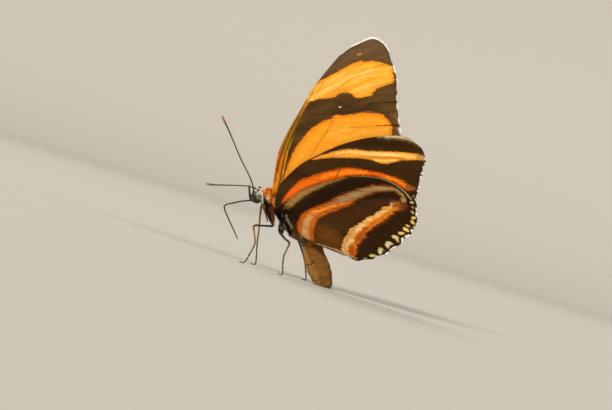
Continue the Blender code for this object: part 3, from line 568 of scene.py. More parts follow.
HINDLEG_RIGHT = [
    (3.4, 0.9, -2.1, 0.8, 0.0), (3.3, 1.5, -3.3, 0.7, 0.0), (3.7, 2.5, -4.0, 0.42, 0.0),
    (4.6, 3.6, -3.9, 0.27, 0.1), (5.9, 4.1, -5.2, 0.22, 0.1), (7.1, 4.5, -6.5, 0.22, 0.2),
    (9.3, 5.2, -9.6, 0.18, 0.15), (10.6, 5.8, -12.4, 0.14, 0.2), (11.3, 6.2, -14.5, 0.13, 0.3),
    (10.6, 6.6, -14.8, 0.11, 0.3),
]
# Each leg: its points, the side that they are turned to, and the point where its foot begins.
LEGS = {
    "foreleg_left": (FORELEG, 1, None), "foreleg_right": (FORELEG, -1, None),
    "midleg_left": (MIDLEG_LEFT, 1, 9), "midleg_right": (MIDLEG_RIGHT, 1, 8),
    "hindleg_left": (HINDLEG_LEFT, 1, 8), "hindleg_right": (HINDLEG_RIGHT, 1, 7),
}
# Feet: a segment's radius where it is slimmest, what it gains and how, how high a foot's middle
# lies in shares of its radius, and claws and spurs by steps ahead, aside and up, with radii.
FOOT_SEGMENTS = 5
SLIMMEST = 0.82
SWELL = 0.42
SWELL_POWER = 1.5
FOOT_HEIGHT = 0.96
CLAW = [(-0.05, 0.0, 0.0, 0.05), (0.16, 0.1, 0.03, 0.035), (0.3, 0.12, -0.04, 0.014)]
SPUR_AHEAD = 0.55
SPUR_ASIDE = 0.28
SPUR = [(0.0, 0.06, 0.3), (0.5, 0.045, 0.3), (1.0, 0.012, 0.2)]
# Tubes, in millimetres; their caps are in shares of the radius.
TUBE_STEP = 0.16
CAP_LENGTH = 0.6
CAP_WIDTH = 0.7
CAP_POINT = 0.5
FIRST_ACROSS = (0.31, 0.87, 0.39)
TUBE_SIDES = 12
LONGEST_TUBE = 40.0
RING_PITCH = 0.32
RING_HEIGHT = 0.07
BRISTLE_LENGTH = 0.16
BRISTLE_LIFT = 0.4
THICK_LEG = (0.3, 0.6)
THICK_LEG_HAIR = 0.42
BRISTLE_SHARE = 0.35
BLACK_BROWN_TAN = ("#16100A", "#5C4220", "#B27A2C")

# A tuft, one long: its two rings by run, half width and height, how far their corners dip and
# stand, and its tip. Then how far each spreads on the bake map, and its least and most sizes.
TUFT_RINGS = [(0.0, 0.5, 0.0), (0.45, 0.42, 0.14)]
CORNER_DIP = 0.2
RIDGE_STAND = 0.5
TUFT_TIP = (0.0, 0.12, 1.0)
TUFT_PATCH = 0.003
LENGTHS_FROM_TO = (0.65, 1.25)
WIDTHS_FROM_TO = (0.7, 1.3)
KEPT_ON_TUFTS = {"tint", "tip", "OFBake", "position", "sharp_face", "material_index"}

# The wing scales: cells across and along in each millimetre, and how much chance moves the edge
# of a mark, in shares of its softness, and the shade.
SCALES_PER_MM = (8.0, 5.0, 1.0)
SCALE_UNEVENNESS = 0.55
EDGE_CHANCE = 0.45
EDGE_BLUR = 0.36
SHADE_CHANCE = 0.26

# Stage, in metres, and the camera, in millimetres.
FLOOR_RADIUS = 1.6
INNER_RING = 0.25
SWEEP_RADIUS = 0.5
WALL_HEIGHT = 0.8
FLOOR_SPOKES = 96
SWEEP_RINGS = 16
WORLD_STRENGTH = 0.6
SENSOR_WIDTH = 36.0
WING_PLANE_Y = -2.0
# Each light: name, where it comes from, its width in degrees, its share of the key, its colour.
LIGHTS = [
    ("key", (-0.6, -1.0, 0.95), 22.0, 1.0, "#FFF9F0"),
    ("fill", (0.9, -1.0, 0.9), 22.0, 0.4, "#F6F8FF"),
    ("back", (-0.35, 1.0, 0.8), 26.0, 0.5, "#FFFBF4"),
]


# Colours.

def colour(hex_text, alpha=1.0):
    """An sRGB hex colour as the linear values that shaders take."""
    values = [int(hex_text[index:index + 2], 16) / 255.0 for index in (1, 3, 5)]
    linear = [v / 12.92 if v <= 0.04045 else ((v + 0.055) / 1.055) ** 2.4 for v in values]
    return (*linear, alpha)


# Places and distances in the plane of the wings, in millimetres.

def on_wing(pixels):
    """Places of the side view as (x, z) from the hinge."""
    given = np.array(pixels, float)
    right = (given[..., 0] - HINGE_PIXEL[0]) * MM_PER_PIXEL
    up = (HINGE_PIXEL[1] - given[..., 1]) * MM_PER_PIXEL
    lean = (math.cos(BODY_PITCH), math.sin(BODY_PITCH))
    return np.stack([right * lean[0] - up * lean[1], right * lean[1] + up * lean[0]], axis=-1)


def smooth_path(points, step, closed=False):
    """Points about one step apart on a smooth curve through the given points."""
    given = np.array(points, float)
    count = len(given)
    spans = count if closed else count - 1
    result = []
    for index in range(spans):
        near = [given[(index + shift) % count] for shift in (-1, 0, 1, 2)]
        if not closed and index == 0:
            near[0] = near[1] * 2 - near[2]
        if not closed and index == spans - 1:
            near[3] = near[2] * 2 - near[1]
        parts = max(1, round(float(np.linalg.norm(near[2] - near[1])) / step))
        for t in np.arange(parts) / parts:
            pull = (near[2] - near[0]) * 0.5
            push = (near[3] - near[1]) * 0.5
            result.append(
                near[1] * (2 * t ** 3 - 3 * t ** 2 + 1) + pull * (t ** 3 - 2 * t ** 2 + t)
                + near[2] * (3 * t ** 2 - 2 * t ** 3) + push * (t ** 3 - t ** 2)
            )
    if not closed:
        result.append(given[-1])
    return np.array(result)


def runs_along(line):
    """How far along a line each of its points lies."""
    return np.append(0.0, np.cumsum(np.linalg.norm(np.diff(line, axis=0), axis=1)))


def headings_along(line):
    """The direction in which a line runs at each of its points."""
    along = np.gradient(line, axis=0)
    return along / np.linalg.norm(along, axis=1)[:, None]


def turned_square(along):
    """Directions in the plane of the wings, each a quarter turn on."""
    return np.stack([-along[:, 1], along[:, 0]], axis=1)


def away_from_line(places, line):
    """How far each place lies from a line of points."""
    nearest = np.full(len(places), 1000.0)
    for start, end in zip(line[:-1], line[1:]):
        span = end - start
        share = np.clip((places - start) @ span / max(span @ span, 1e-9), 0.0, 1.0)
        nearest = np.minimum(nearest, np.linalg.norm(places - start - share[:, None] * span, axis=1))
    return nearest


def away_from_lines(places, lines):
    """How far each place lies from the nearest of some lines."""
    return np.min([away_from_line(places, line) for line in lines], axis=0)


def closed_line(outline):
    """An outline as a line that ends where it starts."""
    return np.vstack([outline, outline[:1]])


def is_inside(places, outline):
    """Whether each place lies inside an outline, by how often a level line crosses it."""
    within = np.zeros(len(places), bool)
    for start, end in zip(outline, np.roll(outline, -1, axis=0)):
        spans = (start[1] > places[:, 1]) != (end[1] > places[:, 1])
        rise = end[1] - start[1] if abs(end[1] - start[1]) > 1e-12 else 1e-12
        crossing = (end[0] - start[0]) * (places[:, 1] - start[1]) / rise + start[0]
        within ^= spans & (places[:, 0] < crossing)
    return within


def depth_in(places, outline):
    """How deep each place lies inside an outline; below nought outside it."""
    away = away_from_line(places, closed_line(outline))
    return np.where(is_inside(places, outline), away, -away)


def depth_in_patch(places, pixels):
    """How deep each place lies inside a patch of the side view."""
    return depth_in(places, smooth_path(on_wing(pixels), CREASE_STEP, closed=True))


def is_drops(shape):
    """Whether a layer is a set of small patches."""
    return isinstance(shape[0], list)


def is_strokes(shape):
    """Whether a layer is a set of strokes."""
    return len(shape[0]) == 3 and not is_drops(shape)


def depth_in_strokes(places, strokes):
    """How deep each place lies inside the nearest of some short strokes with round ends."""
    depths = []
    for start, end, radius in strokes:
        line = on_wing([start, end])
        depths.append(radius * MM_PER_PIXEL - away_from_line(places, line))
    return np.max(depths, axis=0)


def depth_in_shape(places, shape):
    """How deep each place lies in a patch, in a set of small patches or in strokes."""
    if is_drops(shape):
        return np.max([depth_in_patch(places, drop) for drop in shape], axis=0)
    if is_strokes(shape):
        return depth_in_strokes(places, shape)
    return depth_in_patch(places, shape)


# Wing shape.

def off_midline(places, off, root):
    """How far a wing stands off the midline: wide beside the body, closed beyond it."""
    at_rest, at_root, closes_within = off
    room = 1.0 / (1.0 + (away_from_line(places, np.array(BODY_LINE)) / closes_within) ** 4)
    camber = WING_CAMBER * (np.linalg.norm(places, axis=1) / WING_REACH) ** 2
    out = at_rest + (at_root - at_rest) * room + camber
    drawn_in = np.exp(-(np.linalg.norm(places - np.array(root), axis=1) / ROOT_REACH) ** 2)
    return out + (ROOT_INSET - out) * drawn_in


def scalloped_outline(outline):
    """The hindwing's outline with small scallops along its outer margin."""
    first, last = SCALLOPED
    smooth = smooth_path(outline[:first + 1], SHEET_STEP)
    margin = smooth_path(outline[first:last], SHEET_STEP)
    inner = smooth_path(outline[last - 1:] + [outline[0]], SHEET_STEP)[:-1]
    outward = turned_square(headings_along(margin))
    wave = 0.5 * SCALLOP_DEPTH * (np.cos(2 * math.pi * runs_along(margin) / SCALLOP_PITCH) - 1.0)
    return np.vstack([smooth[:-1], margin + outward * wave[:, None], inner[1:]])


def wing_outline(kind):
    """A wing's outline in short steps, drawn in where its fringe stands on the margin."""
    given = WINGS[kind]["outline"]
    if kind == "hindwing":
        outline = scalloped_outline(given)
    else:
        outline = smooth_path(given, SHEET_STEP, closed=True)
    outward = turned_square(headings_along(closed_line(outline))[:-1])
    first, last = WINGS[kind]["margin"]
    margin = smooth_path(given[first:last + 1], 1.0)
    share = np.clip(MARGIN_REACH - away_from_line(outline, margin), 0.0, 1.0)
    return outline - outward * (share * FRINGE_ROOM)[:, None]


def beside(line, shift):
    """A line run alongside another."""
    return line + turned_square(headings_along(line)) * shift


def stroke_lines(layers):
    """The lines of a pattern's strokes and small patches, which the wing's triangles follow too."""
    lines = []
    for _, shape, *_ in layers:
        if is_drops(shape):
            lines.extend(smooth_path(on_wing(drop), 0.5 * SHEET_STEP, closed=True) for drop in shape)
        elif is_strokes(shape):
            lines.extend(smooth_path(on_wing([start, end]), SHEET_STEP) for start, end, _ in shape)
    return lines


def wing_sheet(outline, veins, drawn):
    """Splits a wing into small triangles that follow its veins and drawn lines."""
    points = [outline]
    edges = [(index, (index + 1) % len(outline)) for index in range(len(outline))]
    first = len(outline)
    for vein in veins:
        for line in (vein, beside(vein, VEIN_SIDE), beside(vein, -VEIN_SIDE)):
            keep = is_inside(line, outline)
            keep &= away_from_line(line, closed_line(outline)) > EDGE_CLEARANCE
            kept = line[keep]
            points.append(kept)
            edges.extend((first + index, first + index + 1) for index in range(len(kept) - 1))
            first += len(kept)
    for line in drawn:
        keep = is_inside(line, outline)
        keep &= away_from_line(line, closed_line(outline)) > MARK_CLEARANCE
        points.append(line[keep])
    low, high = outline.min(axis=0), outline.max(axis=0)
    rows = np.arange(low[1], high[1], SHEET_STEP * ROW_PITCH)
    columns = np.arange(low[0], high[0], SHEET_STEP)
    grid = np.array([
        (across + 0.5 * SHEET_STEP * (index % 2), height)
        for index, height in enumerate(rows) for across in columns
    ])
    grid = grid[is_inside(grid, outline)]
    clear = away_from_line(grid, closed_line(outline)) > CLEAR_OF_EDGE * SHEET_STEP
    clear &= away_from_lines(grid, veins) > VEIN_SIDE + CLEAR_OF_VEIN * SHEET_STEP
    points.append(grid[clear])
    every = [Vector(place) for place in np.vstack(points)]
    made = delaunay_2d_cdt(every, edges, [list(range(len(outline)))], 1, 1e-5)
    return np.array([tuple(place) for place in made[0]]), made[2]


def set_attribute(mesh, name, values, kind="FLOAT"):
    """Keeps one value a point on a mesh, for its material or its tufts."""
    attribute = mesh.attributes.new(name, kind, "POINT")
    field = {"FLOAT": "value", "FLOAT_VECTOR": "vector", "FLOAT_COLOR": "color"}[kind]
    attribute.data.foreach_set(field, np.asarray(values, np.float32).ravel())


def in_frame(places):
    """Places in millimetres from the hinge as metres in the frame."""
    return (np.asarray(places, float) + HINGE) * MM


def new_mesh(name, places, faces):
    """A mesh from points in millimetres from the hinge."""
    mesh = bpy.data.meshes.new(name)
    mesh.from_pydata(in_frame(places).tolist(), [], [tuple(face) for face in faces])
    mesh.update()
    return mesh


def face_outwards(mesh):
    """Turns every face of a mesh to point out."""
    work = bmesh.new()
    work.from_mesh(mesh)
    bmesh.ops.recalc_face_normals(work, faces=work.faces)
    work.to_mesh(mesh)
    work.free()


def add_piece(name, mesh):
    """An object at the origin that holds a mesh."""
    made = bpy.data.objects.new(name, mesh)
    bpy.context.scene.collection.objects.link(made)
    return made


def plain_mesh(piece):
    """The piece with its modifiers worked in, as a plain mesh."""
    bpy.context.view_layer.update()
    depsgraph = bpy.context.evaluated_depsgraph_get()
    mesh = bpy.data.meshes.new_from_object(piece.evaluated_get(depsgraph))
    piece.modifiers.clear()
    piece.vertex_groups.clear()
    piece.data = mesh
    mesh.name = piece.name
    return mesh


def with_side(name, side):
    """A name with the side that it is on."""
    return name + ("_left" if side < 0 else "_right")


def finish_piece(piece, material, slot, *replaced):
    """Gives a finished piece its material, hangs it on the root, and hides the parts that it replaces."""
    piece.data.materials.clear()
    piece.data.materials.append(material)
    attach(piece, "root")
    if replaced:
        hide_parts(*replaced)


# Materials.

# The kinds of node that are used most, and how a value runs between two others.
ATTRIBUTE = "ShaderNodeAttribute"
CELLS = "ShaderNodeTexVoronoi"
MATH = "ShaderNodeMath"
MIX = "ShaderNodeMix"
NAMED = "GeometryNodeInputNamedAttribute"
NOISE = "ShaderNodeTexNoise"
PLACE = "ShaderNodeTexCoord"
RANDOM = "FunctionNodeRandomValue"
RANGE = "ShaderNodeMapRange"
SMOOTH = "SMOOTHSTEP"
STORE = "GeometryNodeStoreNamedAttribute"
STRETCH = "ShaderNodeMapping"
TONE = "ShaderNodeHueSaturation"
TURN = "FunctionNodeAlignRotationToVector"
VECTOR_MATH = "ShaderNodeVectorMath"


def add(tree, kind, inputs=None, **settings):
    """Adds one node, sets it up, sets or links its inputs, and gives its outputs."""
    node = tree.nodes.new(kind)
    for name, value in settings.items():
        setattr(node, name, value)
    for name, value in (inputs or {}).items():
        socket = node.inputs[name]
        if isinstance(value, bpy.types.NodeSocket):
            tree.links.new(value, socket)
        else:
            socket.default_value = value
    return node.outputs


def new_material(name, sockets):
    """A material whose constant sockets are set on the shader itself."""
    made = bpy.data.materials.new(name)
    made.use_nodes = True
    tree = made.node_tree
    shader = tree.nodes["Principled BSDF"]
    for socket, value in sockets.items():
        shader.inputs[socket].default_value = value
    return made, tree, shader


def finish_material(tree, shader, shade, height=None, strength=0.0, distance_mm=0.0):
    """Links the colour, and the relief where there is one, to the shader."""
    tree.links.new(shade, shader.inputs["Base Color"])
    if height is not None:
        sockets = {"Strength": strength, "Distance": distance_mm * MM, "Height": height}
        tree.links.new(add(tree, "ShaderNodeBump", sockets)[0], shader.inputs["Normal"])


def shaded_tint(tree, patterns):
    """A piece's tint, lighter or darker by patterns: each one's low and high, and the shade there."""
    value = 1.0
    for pattern, low, high, at_low, at_high in patterns:
        runs = {0: pattern, 1: low, 2: high, 3: at_low, 4: at_high}
        part = add(tree, RANGE, runs, interpolation_type=SMOOTH)[0]
        value = add(tree, MATH, {0: value, 1: part}, operation="MULTIPLY")[0]
    tint = add(tree, ATTRIBUTE, attribute_name="tint")["Color"]
    return add(tree, TONE, {"Value": value, "Color": tint})[0]


# Each layer: name, shape, colour at its edge and inside, the depth in mm at which the inside
# colour is reached, the softness of its edge in mm, how ragged it is and how streaked.
FOREWING_LAYERS = [
    ("tip", FORE_TIP, "#62462A", "#6C5032", 1.0, 1.2, 1.0, 0.5),
    ("costal_strip", FORE_COSTAL_STRIP, "#925F0E", "#A87012", 0.7, 0.5, 0.6, 0.4),
    ("costal_base", FORE_COSTAL_BASE, "#A85C0C", "#D0720F", 0.8, 1.2, 0.6, 0.4),
    ("orange", FORE_ORANGE, "#F08812", "#F8A029", 1.4, 0.6, 0.8, 0.1),
    ("orange_pale", FORE_ORANGE_PALE, "#F9AA38", "#FAB144", 0.5, 1.8, 1.0, 0.3),
    ("yellow", FORE_YELLOW, "#F0951A", "#F9B43C", 1.0, 0.45, 1.1, 0.4),
    ("yellow_pale", FORE_YELLOW_PALE, "#F9BC48", "#FBD070", 0.6, 1.0, 1.0, 0.4),
    ("brown_border", FORE_BROWN_BORDER, "#5C4020", "#7C5628", 1.4, 0.6, 2.0, 0.4),
    ("orange_lines", FORE_ORANGE_LINES, "#E88A10", "#E88A10", 0.2, 0.3, 0.1, 0.0),
    ("costal_lines", FORE_COSTAL_LINES, "#48300C", "#48300C", 0.2, 0.35, 0.1, 0.0),
    ("gold_lines", FORE_GOLD_LINES, "#C88618", "#E09E26", 0.2, 0.35, 0.1, 0.0),
    ("fleck", FORE_FLECK, "#C07E2C", "#E09A38", 0.2, 0.3, 0.5, 0.0),
    ("speck", FORE_SPECK, "#A08C68", "#D8CCB0", 0.2, 0.2, 0.2, 0.0),
    ("dark_lines", FORE_DARK_LINES, "#3E2A10", "#3E2A10", 0.2, 0.22, 0.1, 0.0),
    ("warm_streaks", FORE_WARM_STREAKS, "#F49C26", "#F2961E", 0.3, 1.3, 0.5, 0.2),
    ("faint_lines", FORE_FAINT_LINES, "#E27C10", "#E27C10", 0.2, 0.4, 0.1, 0.0),
    # White spots, and a painted highlight along the apex.
    ("white_spots", FORE_WHITE_SPOTS_AND_APEX_HIGHLIGHT, "#CFC6AE", "#F6F2E6", 0.15, 0.12, 0.15, 0.0),
]
HINDWING_LAYERS = [
    ("inner_dark", HIND_INNER_DARK, "#2A1606", "#221204", 1.5, 1.4, 1.0, 0.2),
    ("outer_dark", HIND_OUTER_DARK, "#2C1906", "#2C1906", 1.5, 1.6, 1.0, 0.2),
    ("brown_field", HIND_BROWN, "#3A200A", "#43270B", 2.0, 0.9, 1.0, 0.5),
    ("golden_field", HIND_GOLDEN, "#4E2E0B", "#62370D", 2.0, 1.6, 1.0, 0.4),
    # Painted highlight along the hindwing's costal edge.
    ("costal_rim", HIND_LIT_COSTAL_RIM, "#7E6238", "#CDBC8E", 0.6, 1.2, 0.2, 0.3),
    ("yellow", HIND_YELLOW, "#E08A1C", "#F2A83C", 0.5, 0.4, 0.8, 0.4),
    ("yellow_pale", HIND_YELLOW_PALE, "#F4B450", "#FAD084", 0.35, 0.4, 0.4, 0.3),
    ("yellow_end", HIND_YELLOW_END, "#AC7E34", "#BC9048", 0.3, 0.9, 0.8, 0.4),
    ("yellow_lines", HIND_YELLOW_LINES, "#E08A1E", "#E08A1E", 0.2, 0.3, 0.2, 0.0),
    ("grey", HIND_GREY, "#70501F", "#977440", 0.5, 0.4, 0.5, 0.4),
    ("orange", HIND_ORANGE, "#C85008", "#EE6A0A", 0.7, 0.7, 0.6, 0.3),
    ("orange_pale", HIND_ORANGE_PALE, "#F47A10", "#F88A1E", 0.4, 0.7, 0.6, 0.4),
    ("tan_end", HIND_TAN_END, "#844E1C", "#8E5C26", 0.5, 0.9, 1.0, 0.4),
    ("corner_dark", HIND_CORNER_DARK, "#3A220C", "#2E1A0A", 0.5, 0.6, 1.0, 0.3),
    ("grey_lines", HIND_GREY_LINES, "#7A6A44", "#B0A074", 0.25, 0.2, 0.2, 0.0),
    ("loop", HIND_LOOP, "#84400A", "#A85C18", 0.5, 1.0, 1.0, 0.4),
    ("loop_grey", HIND_LOOP_GREY, "#7E6238", "#A28452", 0.5, 0.4, 1.2, 0.5),
    ("loop_pink", HIND_LOOP_PINK, "#9E6E42", "#AC7C54", 0.4, 1.2, 0.6, 0.3),
    ("loop_cream", HIND_LOOP_CREAM, "#B07234", "#C08C56", 0.7, 0.8, 0.8, 0.4),
    ("loop_red", HIND_LOOP_RED, "#A04C0A", "#C05C0E", 0.3, 0.9, 0.6, 0.3),
    ("loop_bright", HIND_LOOP_BRIGHT, "#E4781A", "#F2A444", 0.4, 0.9, 0.4, 0.3),
    ("third_glow", HIND_THIRD_GLOW, "#4E2406", "#8A420A", 0.7, 0.9, 1.5, 0.5),
    ("third", HIND_THIRD, "#D89034", "#E0B672", 0.5, 0.3, 1.6, 0.7),
    ("third_pale", HIND_THIRD_PALE, "#C4924C", "#BA8E58", 0.4, 0.7, 1.0, 0.4),
    ("third_blobs", HIND_THIRD_BLOBS, "#DC861E", "#CC640A", 0.4, 0.8, 1.2, 0.3),
    ("third_rust", HIND_THIRD_RUST, "#B8661C", "#A64C06", 0.4, 0.7, 1.2, 0.3),
    ("third_end", HIND_THIRD_END, "#7C3C0A", "#8E460C", 0.4, 0.9, 1.0, 0.3),
    ("black_lines", HIND_BLACK_LINES, "#1A0F04", "#1A0F04", 0.2, 0.2, 0.1, 0.0),
    ("dark_lines", HIND_DARK_LINES, "#8A3C08", "#7A3608", 0.2, 0.3, 0.1, 0.0),
    ("inner_rim", HIND_INNER_RIM, "#9A7C48", "#C0A674", 0.2, 0.35, 0.1, 0.0),
    ("pale_spots", HIND_PALE_SPOTS, "#A68E52", "#DCCD98", 0.35, 0.2, 0.3, 0.3),
    ("gold_spots", HIND_GOLD_SPOTS, "#D0A03C", "#F6DC94", 0.3, 0.2, 0.3, 0.3),
    # White spots, and a painted highlight at the costal edge.
    ("white_spots", HIND_WHITE_SPOTS_AND_EDGE_HIGHLIGHT, "#CFC8B4", "#F8F5EA", 0.15, 0.12, 0.1, 0.0),
]


# Each wing's outline, margin, veins, pattern, and white spots with their painted edge highlights, and its
# material's name, darker ground, and the colour and share of its veins.
WINGS = {
    "forewing": {
        "outline": FOREWING_OUTLINE, "margin": FOREWING_MARGIN, "off": FOREWING_OFF,
        "root": FOREWING_ROOT, "lie": FOREWING_LIE, "veins": FORE_VEINS, "layers": FOREWING_LAYERS,
        "spots": FORE_WHITE_SPOTS_AND_APEX_HIGHLIGHT, "finish": ("orange and brown wing scales", "#443016", "#4A3214", 0.06),
    },
    "hindwing": {
        "outline": HINDWING_OUTLINE, "margin": HINDWING_MARGIN, "off": HINDWING_OFF,
        "root": HINDWING_ROOT, "lie": HINDWING_LIE, "veins": HIND_VEINS, "layers": HINDWING_LAYERS,
        "spots": HIND_WHITE_SPOTS_AND_EDGE_HIGHLIGHT, "finish": ("dark banded wing scales", "#321E08", "#241204", 0.16),
    },
}


def wing_material(layers, ground, finish):
    """Wing scales on a membrane: dyed flat scales, matt, streaked along the veins they follow."""
    name, ground_dark, vein, vein_share = finish
    made, tree, shader = new_material(name, {"Roughness": 0.7, "Specular IOR Level": 0.05})
    grain = add(tree, ATTRIBUTE, attribute_name="grain")["Vector"]
    waves = []
    for per_mm, detail in (((1.5, 0.1, 1.0), 4.0), ((0.2, 0.1, 1.0), 2.0), ((1.7, 0.25, 1.0), 2.0)):
        along = add(tree, STRETCH, {"Vector": grain, "Scale": per_mm})[0]
        waves.append(add(tree, NOISE, {"Vector": along, "Scale": 1.0, "Detail": detail})[0])
    streaks, patches, ragged = waves
    shift = add(tree, MATH, {0: ragged, 1: 0.5}, operation="SUBTRACT")[0]
    streak = add(tree, RANGE, {0: streaks, 1: 0.38, 2: 0.62}, interpolation_type=SMOOTH)[0]
    # One cell is one scale, 0.12 mm across and 0.2 mm long, and takes its dye or not as a whole.
    # Real ones are half that size, too fine to show.
    along = add(tree, STRETCH, {"Vector": grain, "Scale": SCALES_PER_MM})[0]
    cells = {"Vector": along, "Scale": 1.0, "Randomness": SCALE_UNEVENNESS}
    scales = add(tree, CELLS, cells, feature="F1")
    chance = add(tree, "ShaderNodeSeparateColor", {"Color": scales["Color"]})[0]
    uneven = add(tree, MATH, {0: chance, 1: 0.5}, operation="SUBTRACT")[0]
    share = add(tree, RANGE, {0: patches, 1: 0.35, 2: 0.65}, interpolation_type=SMOOTH)[0]
    dyed = add(tree, MIX, {0: share, 6: colour(ground_dark), 7: ground}, data_type="RGBA")[2]
    for layer, _, edge, core, fades_in, softness, raggedness, streaked in layers:
        depth = add(tree, ATTRIBUTE, attribute_name=layer)["Fac"]
        moved = add(tree, MATH, {0: shift, 1: raggedness}, operation="MULTIPLY")[0]
        depth = add(tree, MATH, {0: depth, 1: moved}, operation="ADD")[0]
        inner = add(tree, RANGE, {0: depth, 1: 0.0, 2: fades_in}, interpolation_type=SMOOTH)[0]
        runs = {0: streak, 1: 0.0, 2: 1.0, 3: 1.0 - streaked, 4: 1.0}
        kept = add(tree, RANGE, runs, interpolation_type=SMOOTH)[0]
        share = add(tree, MATH, {0: inner, 1: kept}, operation="MULTIPLY")[0]
        dye = add(tree, MIX, {0: share, 6: colour(edge), 7: colour(core)}, data_type="RGBA")[2]
        moved = add(tree, MATH, {0: uneven, 1: EDGE_CHANCE * softness}, operation="MULTIPLY")[0]
        scaled = add(tree, MATH, {0: depth, 1: moved}, operation="ADD")[0]
        blur = EDGE_BLUR * softness
        share = add(tree, RANGE, {0: scaled, 1: -blur, 2: blur}, interpolation_type=SMOOTH)[0]
        dyed = add(tree, MIX, {0: share, 6: dyed, 7: dye}, data_type="RGBA")[2]
    away = add(tree, ATTRIBUTE, attribute_name="vein_away")["Fac"]
    runs = {0: away, 1: 0.05, 2: 0.28, 3: vein_share, 4: 0.0}
    share = add(tree, RANGE, runs, interpolation_type=SMOOTH)[0]
    dyed = add(tree, MIX, {0: share, 6: dyed, 7: colour(vein)}, data_type="RGBA")[2]
    runs = {0: streaks, 1: 0.3, 2: 0.7, 3: 0.92, 4: 1.05}
    streaky = add(tree, RANGE, runs, interpolation_type=SMOOTH)[0]
    moved = add(tree, MATH, {0: uneven, 1: SHADE_CHANCE}, operation="MULTIPLY")[0]
    value = add(tree, MATH, {0: streaky, 1: moved}, operation="ADD")[0]
    shade = add(tree, TONE, {"Value": value, "Color": dyed})[0]
    sunk = add(tree, MATH, {0: scales["Distance"], 1: -0.5}, operation="MULTIPLY")[0]
    height = add(tree, MATH, {0: sunk, 1: streaks}, operation="ADD")[0]
    finish_material(tree, shader, shade, height, 0.5, 0.05)
    return made


def make_wing(name, side, shape, settings):
    """One wing: a thin sheet with raised veins, its pattern kept as depths inside each patch."""
    places, faces = shape["sheet"]
    vein_away = away_from_lines(places, shape["vein_lines"])
    out = off_midline(places, shape["off"], shape["root"])
    out -= MEMBRANE_SAG * np.clip(vein_away / SAG_REACH, 0.0, 1.0)
    mesh = new_mesh(name, np.stack([places[:, 0], side * out, places[:, 1]], axis=1), faces)
    for layer, patch, *_ in shape["layers"]:
        set_attribute(mesh, layer, depth_in_shape(places, patch))
    set_attribute(mesh, "vein_away", vein_away)
    centre, level, power, factor = shape["lie"]
    away = places - np.array(centre)
    reach = np.linalg.norm(away, axis=1)
    across = (np.arctan2(away[:, 1], away[:, 0]) - level) * reach ** power * factor
    grain = np.stack([across, reach, np.full(len(places), 5.0 * side)], axis=1)
    set_attribute(mesh, "grain", grain, "FLOAT_VECTOR")
    face_outwards(mesh)
    piece = add_piece(name + "_scaled", mesh)
    group = piece.vertex_groups.new(name="veins")
    rim_away = away_from_line(places, closed_line(shape["fine_outline"]))
    raised = np.clip(1.0 - vein_away / VEIN_REACH, 0.0, 1.0)
    rim = np.clip(1.0 - rim_away / RIM_REACH, 0.0, RIM_SHARE)
    for index, weight in enumerate(np.maximum(raised, rim)):
        group.add([index], float(weight), "REPLACE")
    wall = piece.modifiers.new("membrane", "SOLIDIFY")
    wall.thickness = settings.vein_thickness
    wall.offset = 0.0
    wall.vertex_group = group.name
    wall.thickness_vertex_group = settings.membrane_thickness / settings.vein_thickness
    plain_mesh(piece).shade_smooth()
    finish_piece(piece, shape["material"], name.split("_")[0], name)


def make_wings(kind, settings):
    """Both wings of a kind, from one sheet and in one material."""
    wing = WINGS[kind]
    outline = wing_outline(kind)
    veins = [smooth_path(on_wing(line), SHEET_STEP) for line in wing["veins"]]
    ground = tuple(getattr(settings, kind + "_ground"))
    shape = {
        **wing, "fine_outline": outline, "vein_lines": veins,
        "sheet": wing_sheet(outline, veins, stroke_lines(wing["layers"])),
        "material": wing_material(wing["layers"], ground, wing["finish"]),
    }
    for side in SIDES:
        make_wing(with_side(kind, side), side, shape, settings)


# Body shape.

def mixed(share, first, second):
    """Rows of values, each partway from the first to the second."""
    return first * (1.0 - share[:, None]) + second * share[:, None]


def smooth_share(values, low, high):
    """Runs smoothly from 0 to 1 as values pass from low to high."""
    share = np.clip((values - low) / (high - low), 0.0, 1.0)
    return share * share * (3.0 - 2.0 * share)


def paint(places, ground, marks):
    """Colours for places by the marks of the side view, laid one over another."""
    flat = places[:, (0, 2)]
    tints = ground.copy()
    for start, end, radius, softness, hex_text in marks:
        away = away_from_line(flat, on_wing([start, end])) / MM_PER_PIXEL
        share = 1.0 - smooth_share(away, radius - softness / 2, radius + softness / 2)
        tints = mixed(share, tints, np.array(colour(hex_text)))
    return tints


def body_frame(places):
    """Turn about the body's line, run along it, and the direction to the tail, place by place."""
    line = smooth_path(FACE_LINE + BODY_LINE, 0.5)
    runs = runs_along(line)
    flat = places[:, (0, 2)]
    nearest = np.argmin(np.linalg.norm(flat[:, None, :] - line[None, :, :], axis=2), axis=1)
    along = headings_along(line)[nearest]
    height = np.sum((flat - line[nearest]) * turned_square(along), axis=1)
    turn = np.arctan2(places[:, 1], height) / (2 * math.pi) + 0.5
    tailward = np.stack([along[:, 0], np.zeros(len(places)), along[:, 1]], axis=1)
    return turn, runs[nearest] / runs[-1], tailward


def set_unwrap(mesh, turn, run):
    """An unwrap of a round form: the turn about it across, and the run along it upwards."""
    corners = np.zeros(len(mesh.loops), np.int32)
    mesh.loops.foreach_get("vertex_index", corners)
    starts = np.zeros(len(mesh.polygons), np.int32)
    mesh.polygons.foreach_get("loop_start", starts)
    totals = np.zeros(len(mesh.polygons), np.int32)
    mesh.polygons.foreach_get("loop_total", totals)
    across = turn[corners]
    wide = np.maximum.reduceat(across, starts) - np.minimum.reduceat(across, starts) > 0.5
    across = np.where(np.repeat(wide, totals) & (across < 0.5), across + 1.0, across)
    layer = mesh.uv_layers.new(name="unwrap")
    layer.data.foreach_set("uv", np.stack([across * 0.5, run[corners]], axis=1).ravel())


def from_hinge(mesh):
    """A mesh's points in millimetres from the hinge, and their normals."""
    co = np.zeros(len(mesh.vertices) * 3)
    mesh.vertices.foreach_get("co", co)
    normals = np.array([tuple(corner.vector) for corner in mesh.vertex_normals])
    return co.reshape(-1, 3) / MM - HINGE, normals


